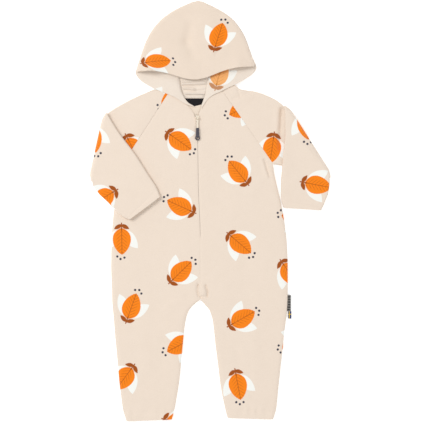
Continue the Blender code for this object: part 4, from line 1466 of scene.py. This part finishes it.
def moulded(name: str, parts: list[Object], voxel: float) -> Object:
    """Melt parts into one closed piece with soft edges, as if it were cast or moulded.

    Args:
        name: The piece's name.
        parts: What it is made of.
        voxel: How fine its surface is.

    Returns:
        The piece.
    """
    bpy.ops.object.select_all(action="DESELECT")
    for part in parts:
        part.select_set(True)
    obj = parts[0]
    bpy.context.view_layer.objects.active = obj
    bpy.ops.object.join()
    obj.name = obj.data.name = name
    melt = obj.modifiers.new("melt", "REMESH")
    melt.mode, melt.voxel_size = "VOXEL", voxel * MM
    soften = obj.modifiers.new("soften", "SMOOTH")
    soften.factor, soften.iterations = 0.6, 3
    apply_modifiers(obj)
    obj.data.shade_smooth()
    return obj


@dataclass(frozen=True)
class Enamel:
    """A pale lacquered metal, worn a little towards bare metal at random."""

    name: str = "zip_metal_lacquer"
    colour: tuple[float, float, float] = (242, 230, 212)
    worn: tuple[float, float, float] = (214, 202, 184)

    def material(self) -> Material:
        """Make the finish.

        Returns:
            The material.
        """
        graph = Graph(self.name)
        wear = graph.noise(graph.place(), 700.0, 3.0)
        share = graph.ramp(wear, 0.5, 0.75) * 0.6
        return graph.finish(
            Base_Color=graph.mix(share, srgb(*self.colour), srgb(*self.worn)),
            Roughness=0.32 + wear * 0.2,
            Normal=graph.bump(wear, 0.15, 0.0002),
            Metallic=0.2,
        )


@dataclass(frozen=True)
class Rubber:
    """Matt moulded rubber with a fine grain."""

    name: str = "puller_rubber"
    colour: tuple[float, float, float] = (66, 63, 72)
    worn: tuple[float, float, float] = (86, 84, 92)

    def material(self) -> Material:
        """Make the finish.

        Returns:
            The material.
        """
        graph = Graph(self.name)
        grain = graph.noise(graph.place(), 2600.0, 2.0)
        patches = graph.noise(graph.place(), 260.0, 2.0)
        return graph.finish(
            Base_Color=graph.mix(patches * 0.5, srgb(*self.colour), srgb(*self.worn)),
            Roughness=0.5 + patches * 0.2,
            Normal=graph.bump(grain, 0.25, 0.0002),
        )


@dataclass(frozen=True)
class Woven:
    """A narrow woven band: ribs one way, threads the other, and pale bars across it where it has them."""

    name: str
    colour: tuple[float, float, float]
    other: tuple[float, float, float]
    threads: float = 2200.0
    bar_gap: float = 0.0
    bar_share: float = 0.0

    def material(self) -> Material:
        """Make the finish.

        Returns:
            The material.
        """
        graph = Graph(self.name)
        x, y, _ = graph.split(graph.place())
        warp = graph.math("SINE", x * (self.threads * math.pi))
        weft = graph.math("SINE", y * (self.threads * math.pi * 0.7))
        weave = warp * weft * 0.5 + 0.5
        lit = srgb(*[min(value + 24, 255) for value in self.colour])
        colour = graph.mix(weave * 0.25, srgb(*self.colour), lit)
        if self.bar_gap:
            bar = graph.math("FRACT", y * (1000.0 / self.bar_gap))
            mask = graph.ramp(bar, self.bar_share + 0.08, self.bar_share - 0.08)
            colour = graph.mix(mask * 0.9, colour, srgb(*self.other))
        return graph.finish(
            Base_Color=colour,
            Roughness=0.75 + weave * 0.1,
            Normal=graph.bump(weave, 0.4, 0.0002),
            Specular_IOR_Level=0.3,
        )


@dataclass(frozen=True)
class FlagWeave:
    """A woven flag: a blue field with a yellow cross, placed in metres."""

    name: str = "flag_weave"
    cross_x: float = 0.1498
    cross_y: float = -0.1967
    half: float = 0.0008
    blur: float = 0.0002

    def material(self) -> Material:
        """Make the finish.

        Returns:
            The material.
        """
        graph = Graph(self.name)
        x, y, _ = graph.split(graph.place())
        away = [abs(x - self.cross_x), abs(y - self.cross_y)]
        bars = [graph.ramp(one, self.half + self.blur, self.half - self.blur) for one in away]
        weave = graph.math("SINE", x * 7000.0) * graph.math("SINE", y * 5200.0) * 0.5 + 0.5
        # The blue is painted lighter where the weave stands up: a painted highlight on the threads' crowns.
        blue = graph.mix(weave * 0.2, srgb(20, 48, 98), srgb(36, 68, 122))
        return graph.finish(
            Base_Color=graph.mix(graph.most(*bars), blue, srgb(222, 182, 58)),
            Roughness=0.7 + weave * 0.1,
            Normal=graph.bump(weave, 0.4, 0.0002),
        )


@dataclass
class Zip:
    """The zip: two tapes under the front edges, their teeth, the slider, its tab and the puller."""

    metal: Material
    rubber: Material
    tape: Material
    teeth: Material
    slider: tuple[float, float] = (-24.6, 175.5)
    pin_z: float = 10.95
    tab_z: float = 9.85
    tab_length: float = 17.5
    puller_length: float = 23.0
    tape_steps: tuple[float, ...] = (-0.4, 0.6, 3.0, 6.0, 9.0, 10.5)
    tape_z: float = 4.4
    tape_wall: float = 0.6
    head_wall: float = 0.8
    pitch: float = 1.35
    top: float = 199.0
    bottom: float = ZIP_BOTTOM - 6.0

    def edges(self, left: bool) -> np.ndarray:
        """Give one front's zip edge at even steps of the teeth.

        Args:
            left: Whether it is the left front's.

        Returns:
            The places, from the neck down.
        """
        rows, _ = finer(FRONT_LEFT if left else FRONT_RIGHT, 2.0)
        line = rows[:, 2:4] if left else rows[:, 0:2]
        line = line[(line[:, 1] < self.top) & (line[:, 1] > self.bottom)]
        run = np.concatenate([[0.0], np.cumsum(distance(line[:-1], line[1:]))])
        places = np.arange(0.0, run[-1], self.pitch)
        return np.column_stack([np.interp(places, run, line[:, axis]) for axis in (0, 1)])

    def build_tape(self, left: bool) -> None:
        """Make one tape, a little proud of its front's edge.

        Args:
            left: Whether it is the left one.
        """
        line = self.edges(left)
        x = line[:, 0:1] + (-1.0 if left else 1.0) * np.array([self.tape_steps])
        points = np.stack([x, np.broadcast_to(line[:, 1:2], x.shape), np.full_like(x, self.tape_z)], axis=-1)
        obj = grid_mesh("zip_tape_left" if left else "zip_tape_right", points)
        if left:
            obj.data.flip_normals()
        obj.data.materials.append(self.tape)
        add_wall(obj, self.tape_wall)
        declare(obj)

    def build_head(self) -> None:
        """Make the top of the tapes, where they lie over each other in the opening above the slider."""
        down = np.linspace(0.0, 1.0, 24)[:, None]
        across = np.linspace(0.0, 1.0, 32)[None, :]
        corners, low = np.array(HEAD_TOP), np.array(HEAD_BOTTOM)
        share = (corners[:, 0] - corners[0, 0]) / (corners[-1, 0] - corners[0, 0])
        top = np.stack([np.interp(across, share, corners[:, axis]) for axis in (0, 1)], axis=-1)
        bottom = low[0] + (low[1] - low[0]) * across[..., None]
        z = 5.7 + 0.25 * np.sin(across * 5.0 + down * 3.0) - 0.7 * down
        plan = top + (bottom - top) * down[..., None]
        obj = grid_mesh("zip_tape_head", np.concatenate([plan, z[..., None]], axis=-1))
        obj.data.materials.append(self.tape)
        add_wall(obj, self.head_wall)
        declare(obj)

    def build_teeth(self) -> None:
        """Make the teeth: one is modelled, and copied along both edges, half a step apart."""
        bpy.ops.object.select_all(action="DESELECT")
        turn = (0.0, math.pi / 2, 0.0)
        bpy.ops.mesh.primitive_cylinder_add(vertices=10, radius=0.5 * MM, depth=1.5 * MM, rotation=turn)
        tooth = modelled("tooth", self.teeth)
        bpy.ops.object.mode_set(mode="EDIT")
        bpy.ops.mesh.select_all(action="SELECT")
        bpy.ops.mesh.bevel(offset=0.18 * MM, segments=2)
        bpy.ops.mesh.select_all(action="DESELECT")
        bpy.ops.object.mode_set(mode="OBJECT")
        shape = np.array([vert.co[:] for vert in tooth.data.vertices]) / MM
        faces = [list(face.vertices) for face in tooth.data.polygons]
        bpy.data.objects.remove(tooth, do_unlink=True)
        points, all_faces = [], []
        for way, lag, places in ((1.0, 0.0, self.edges(True)), (-1.0, self.pitch / 2, self.edges(False))):
            for x, y in places:
                base = len(points) * len(shape)
                points.append(shape + np.array([x + way * 0.35, y - lag, self.tape_z + 0.35]))
                all_faces += [[corner + base for corner in face] for face in faces]
        obj = link_mesh("zip_teeth", np.concatenate(points), all_faces)
        obj.data.materials.append(self.teeth)
        declare(obj)

    def build_slider(self) -> None:
        """Make the slider: a plate wide at its top, two side walls, and a bridge that holds the tab's eye."""
        x, y = self.slider
        rail = ((1.1, 3.2, 4.4), (1.0, 0.9), self.metal)
        parts = [
            block("slider_top", (x, y, 8.3), (8.2, 11.0, 1.3), (0.7, 1.0), self.metal),
            block("slider_rail_left", (x - 2.7, y, 10.2), *rail),
            block("slider_rail_right", (x + 2.7, y, 10.2), *rail),
            rod("slider_pin", (x, y, self.pin_z), 0.7, 5.6, self.metal),
        ]
        declare(moulded("slider_body", parts, 0.2))

    def build_tab(self) -> None:
        """Make the metal tab: an eye round the pin and a blade that lies down the zip."""
        x, y = self.slider
        middle, size = (x, y - 1.6 - self.tab_length / 2, self.tab_z), (3.4, self.tab_length - 1.0, 1.0)
        eye = (1.36, 0.42, math.pi / 2, self.metal)
        parts = [block("tab_blade", middle, size, (1.0, 1.0), self.metal)]
        parts += [ring(f"tab_eye_{step}", (x + 0.7 * step, y, self.pin_z), *eye) for step in (0, -1, 1)]
        declare(moulded("pull_tab", parts, 0.16))

    def build_puller(self) -> None:
        """Make the rubber puller: a strap over the tab's end, ribbed for grip, that widens into a ring."""
        x, y = self.slider
        top = y - 1.3 - self.tab_length + 0.6
        ring_y = y - 1.3 - self.tab_length - self.puller_length + 4.6
        length = top - ring_y - 1.2
        parts = [
            block("puller_strap", (x, top - length / 2, self.tab_z), (5.4, length, 2.2), (1.3, 1.0), self.rubber),
            ring("puller_ring", (x, ring_y, self.tab_z), 3.5, 1.2, 0.0, self.rubber),
        ]
        for step in range(4):
            rib = (x, top - 3.0 - 2.4 * step, self.tab_z + 1.05)
            parts.append(block(f"puller_rib_{step}", rib, (4.0, 0.9, 0.8), (1.0, 1.0), self.rubber))
        declare(moulded("pull_grip", parts, 0.24))

    def build(self) -> None:
        """Make the zip's pieces."""
        self.build_tape(True)
        self.build_tape(False)
        self.build_head()
        self.build_teeth()
        self.build_slider()
        self.build_tab()
        self.build_puller()


@dataclass
class Labels:
    """The bare neck label, and the folded label in the side seam with its flag."""

    black: Material
    barred: Material
    flag: Material
    bow: float = 0.3
    edge: float = 0.2

    def build_strip(self, name: str, low: tuple, high: tuple, material: Material) -> None:
        """Make a thin woven strip that bows a little, with soft edges.

        Args:
            name: The strip's name.
            low: Its lowest corner.
            high: Its highest corner.
            material: Its finish.
        """
        u, v = np.meshgrid(np.linspace(0.0, 1.0, 24), np.linspace(1.0, 0.0, 24))
        x, y = low[0] + (high[0] - low[0]) * u, low[1] + (high[1] - low[1]) * v
        z = high[2] + self.bow * np.sin(np.pi * u) * np.sin(np.pi * v) + 0.12 * np.sin(u * 9.0 + v * 5.0)
        obj = grid_mesh(name, np.stack([x, y, z], axis=-1))
        obj.data.materials.append(material)
        add_wall(obj, high[2] - low[2], self.edge)
        declare(obj)

    def build(self) -> None:
        """Make the three pieces."""
        self.build_strip("neck_label_cloth", (-49.0, 196.5, 2.8), (-10.0, 213.8, 3.5), self.black)
        self.build_strip("side_label_cloth", (145.2, -190.6, 2.8), (152.6, -159.8, 3.7), self.barred)
        self.build_strip("side_flag_cloth", (147.6, -205.0, 2.8), (153.6, -191.0, 3.7), self.flag)


def main() -> None:
    """Dress the frame."""
    logging.basicConfig(level=logging.INFO, format="%(name)s %(message)s")
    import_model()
    Studio().build()
    faded = {"ground": (238, 225, 211), "orange": (242, 158, 42), "brown": (184, 112, 40)}
    body = PrintedFleece("fleece_body", Side.FACE, (238, 222, 206)).material()
    body_reverse = PrintedFleece("fleece_body_reverse", Side.REVERSE, **faded).material()
    # The hood is the body's fleece; its ground is painted a little darker than the body's (236, 219, 202 against
    # 238, 222, 206) as painted shade.
    hood = PrintedFleece("fleece_hood", Side.FACE, (236, 219, 202), shift=(40.0, -8.0)).material()
    hood_inside = PrintedFleece("fleece_hood_inside", Side.REVERSE, shift=(38.0, 62.0), **faded).material()
    Suit(ClothSides(body, body_reverse), ClothSides(hood, hood_inside), ClothSides(hood_inside, hood)).build()
    metal = Enamel().material()
    tape = Woven("zip_tape_weave", (232, 216, 198), (255, 255, 255), threads=1600.0).material()
    teeth = Enamel("zip_teeth_nylon", (238, 226, 210), (228, 214, 196)).material()
    Zip(metal, Rubber().material(), tape, teeth).build()
    black = Woven("label_black_satin", (17, 14, 17), (30, 28, 30)).material()
    barred = Woven("side_label_bars", (14, 12, 14), (206, 200, 192), bar_gap=3.1, bar_share=0.2).material()
    Labels(black, barred, FlagWeave().material()).build()


if __name__ == "__main__":
    main()
